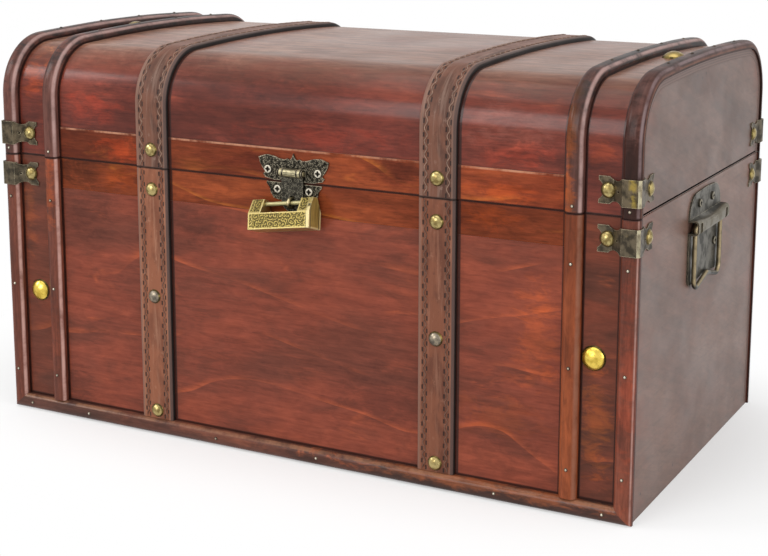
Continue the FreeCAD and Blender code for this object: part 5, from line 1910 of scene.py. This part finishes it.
@dataclass(frozen=True)
class Softbox:
    """Large soft lamp that faces the chest and isn't seen itself.

    It stands at an azimuth from the front toward the right, an elevation and a distance; its
    power is its radiance times pi times its area.
    """

    name: str
    azimuth: float
    elevation: float
    distance: float
    size: tuple[float, float]
    radiance: float
    aim_z: float = 0.14

    def build(self) -> None:
        """The lamp, turned so that its face looks at the middle of the chest."""
        data = bpy.data.lights.new(self.name, "AREA")
        data.shape, data.energy = "RECTANGLE", self.radiance * math.pi * self.size[0] * self.size[1]
        data.size, data.size_y = self.size
        lamp = bpy.data.objects.new(self.name, data)
        bpy.context.scene.collection.objects.link(lamp)
        turn, rise = math.radians(self.azimuth), math.radians(self.elevation)
        away = (math.sin(turn) * math.cos(rise), -math.cos(turn) * math.cos(rise), math.sin(rise))
        lamp.location = self.distance * np.array(away) + [0.0, 0.0, self.aim_z]
        lamp.rotation_euler = (math.pi / 2 - rise, 0.0, turn)
        lamp.visible_camera = False


@dataclass
class Studio:
    """Pale floor, plain soft light and the camera."""

    lens: float = 74.6293
    place: tuple[float, float, float] = (0.53337, -1.00557, 0.39157)
    azimuth: float = 27.951
    elevation: float = 10.936
    roll: float = 0.065
    shift: float = -100.0 / 768.0
    floor_half: float = 6.0
    floor_z: float = -0.0003
    boxes: tuple[Softbox, ...] = (
        Softbox("overhead", 0.0, 82.0, 2.1, (2.0, 1.6), 1.7),
        Softbox("key", -14.0, 24.0, 2.2, (1.1, 1.0), 5.0),
        Softbox("left", -58.0, 30.0, 2.3, (0.7, 0.7), 8.0),
        Softbox("right", 78.0, 16.0, 2.0, (1.0, 1.2), 4.4))

    def camera(self) -> None:
        """Camera turned about Z, raised about its own X, then rolled about its own line of sight."""
        data = bpy.data.cameras.new("Camera")
        data.sensor_width, data.lens, data.shift_y = 36.0, self.lens, self.shift
        data.clip_start, data.clip_end = 0.05, 50.0
        camera = bpy.data.objects.new("Camera", data)
        bpy.context.scene.collection.objects.link(camera)
        camera.location = self.place
        turns = ((self.azimuth, "Z"), (90 - self.elevation, "X"), (self.roll, "Z"))
        pan, raised, rolled = (Matrix.Rotation(math.radians(angle), 3, axis) for angle, axis in turns)
        camera.rotation_euler = (pan @ raised @ rolled).to_euler()
        bpy.context.scene.camera = camera

    def floor(self) -> None:
        """Pale floor that keeps the shadow near the chest and is plain white further off."""
        mesh = bpy.data.meshes.new("floor")
        corners = [(x * self.floor_half, y * self.floor_half, self.floor_z)
                   for x, y in ((-1, -1), (1, -1), (1, 1), (-1, 1))]
        mesh.from_pydata(corners, [], [(0, 1, 2, 3)])
        floor = bpy.data.objects.new("floor", mesh)
        bpy.context.scene.collection.objects.link(floor)
        material = bpy.data.materials.new("Pale floor")
        material.use_nodes = True
        material.node_tree.nodes.clear()
        w = Wiring(material.node_tree)
        matt = w.add("ShaderNodeBsdfDiffuse", {"Color": (0.93, 0.93, 0.93)}).outputs[0]
        white = w.add("ShaderNodeEmission", {"Color": (1.0, 1.0, 1.0), "Strength": 1.0}).outputs[0]
        away = w.step(w.far(w.stretch(w.coords(), (1.0, 1.5, 1.0))), 0.24, 0.42, 0.35, 1.0)
        blend = w.add("ShaderNodeMixShader", {0: w.times(w.seen(), away), 1: matt, 2: white})
        w.add("ShaderNodeOutputMaterial", {0: blend.outputs[0]})
        mesh.materials.append(material)

    def light(self) -> None:
        """White surroundings for the eye, dimmer soft light for the rest, and the soft boxes."""
        world = bpy.data.worlds.new("Studio")
        bpy.context.scene.world = world
        world.use_nodes = True
        world.node_tree.nodes.clear()
        w = Wiring(world.node_tree)
        _, y, z = w.split(w.coords("Generated"))
        level = w.plus(w.step(y, -0.9, 0.9, 0.33, 0.40), w.step(z, 0.1, 0.9, 0.0, 0.1))
        soft, white = (
            w.add("ShaderNodeBackground", {"Color": (1.0, 1.0, 1.0), "Strength": strength}).outputs[0]
            for strength in (level, 1.0))
        blend = w.add("ShaderNodeMixShader", {0: w.seen(), 1: soft, 2: white})
        w.add("ShaderNodeOutputWorld", {0: blend.outputs[0]})
        for box in self.boxes:
            box.build()

    def build(self) -> None:
        """Camera, floor and light."""
        self.camera()
        self.floor()
        self.light()
        bpy.context.scene.view_settings.view_transform = "Standard"


def main() -> None:
    """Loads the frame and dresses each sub-assembly."""
    logging.basicConfig(level=logging.INFO, format="%(name)s %(message)s")
    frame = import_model()
    chest = Chest()
    Woodwork(chest).build()
    Straps(chest).build()
    Nails(chest).build()
    CornerBrackets().build(frame)
    Hardware(chest).build(frame)
    Studio().build()
    bpy.context.view_layer.update()


if __name__ == "__main__":
    main()
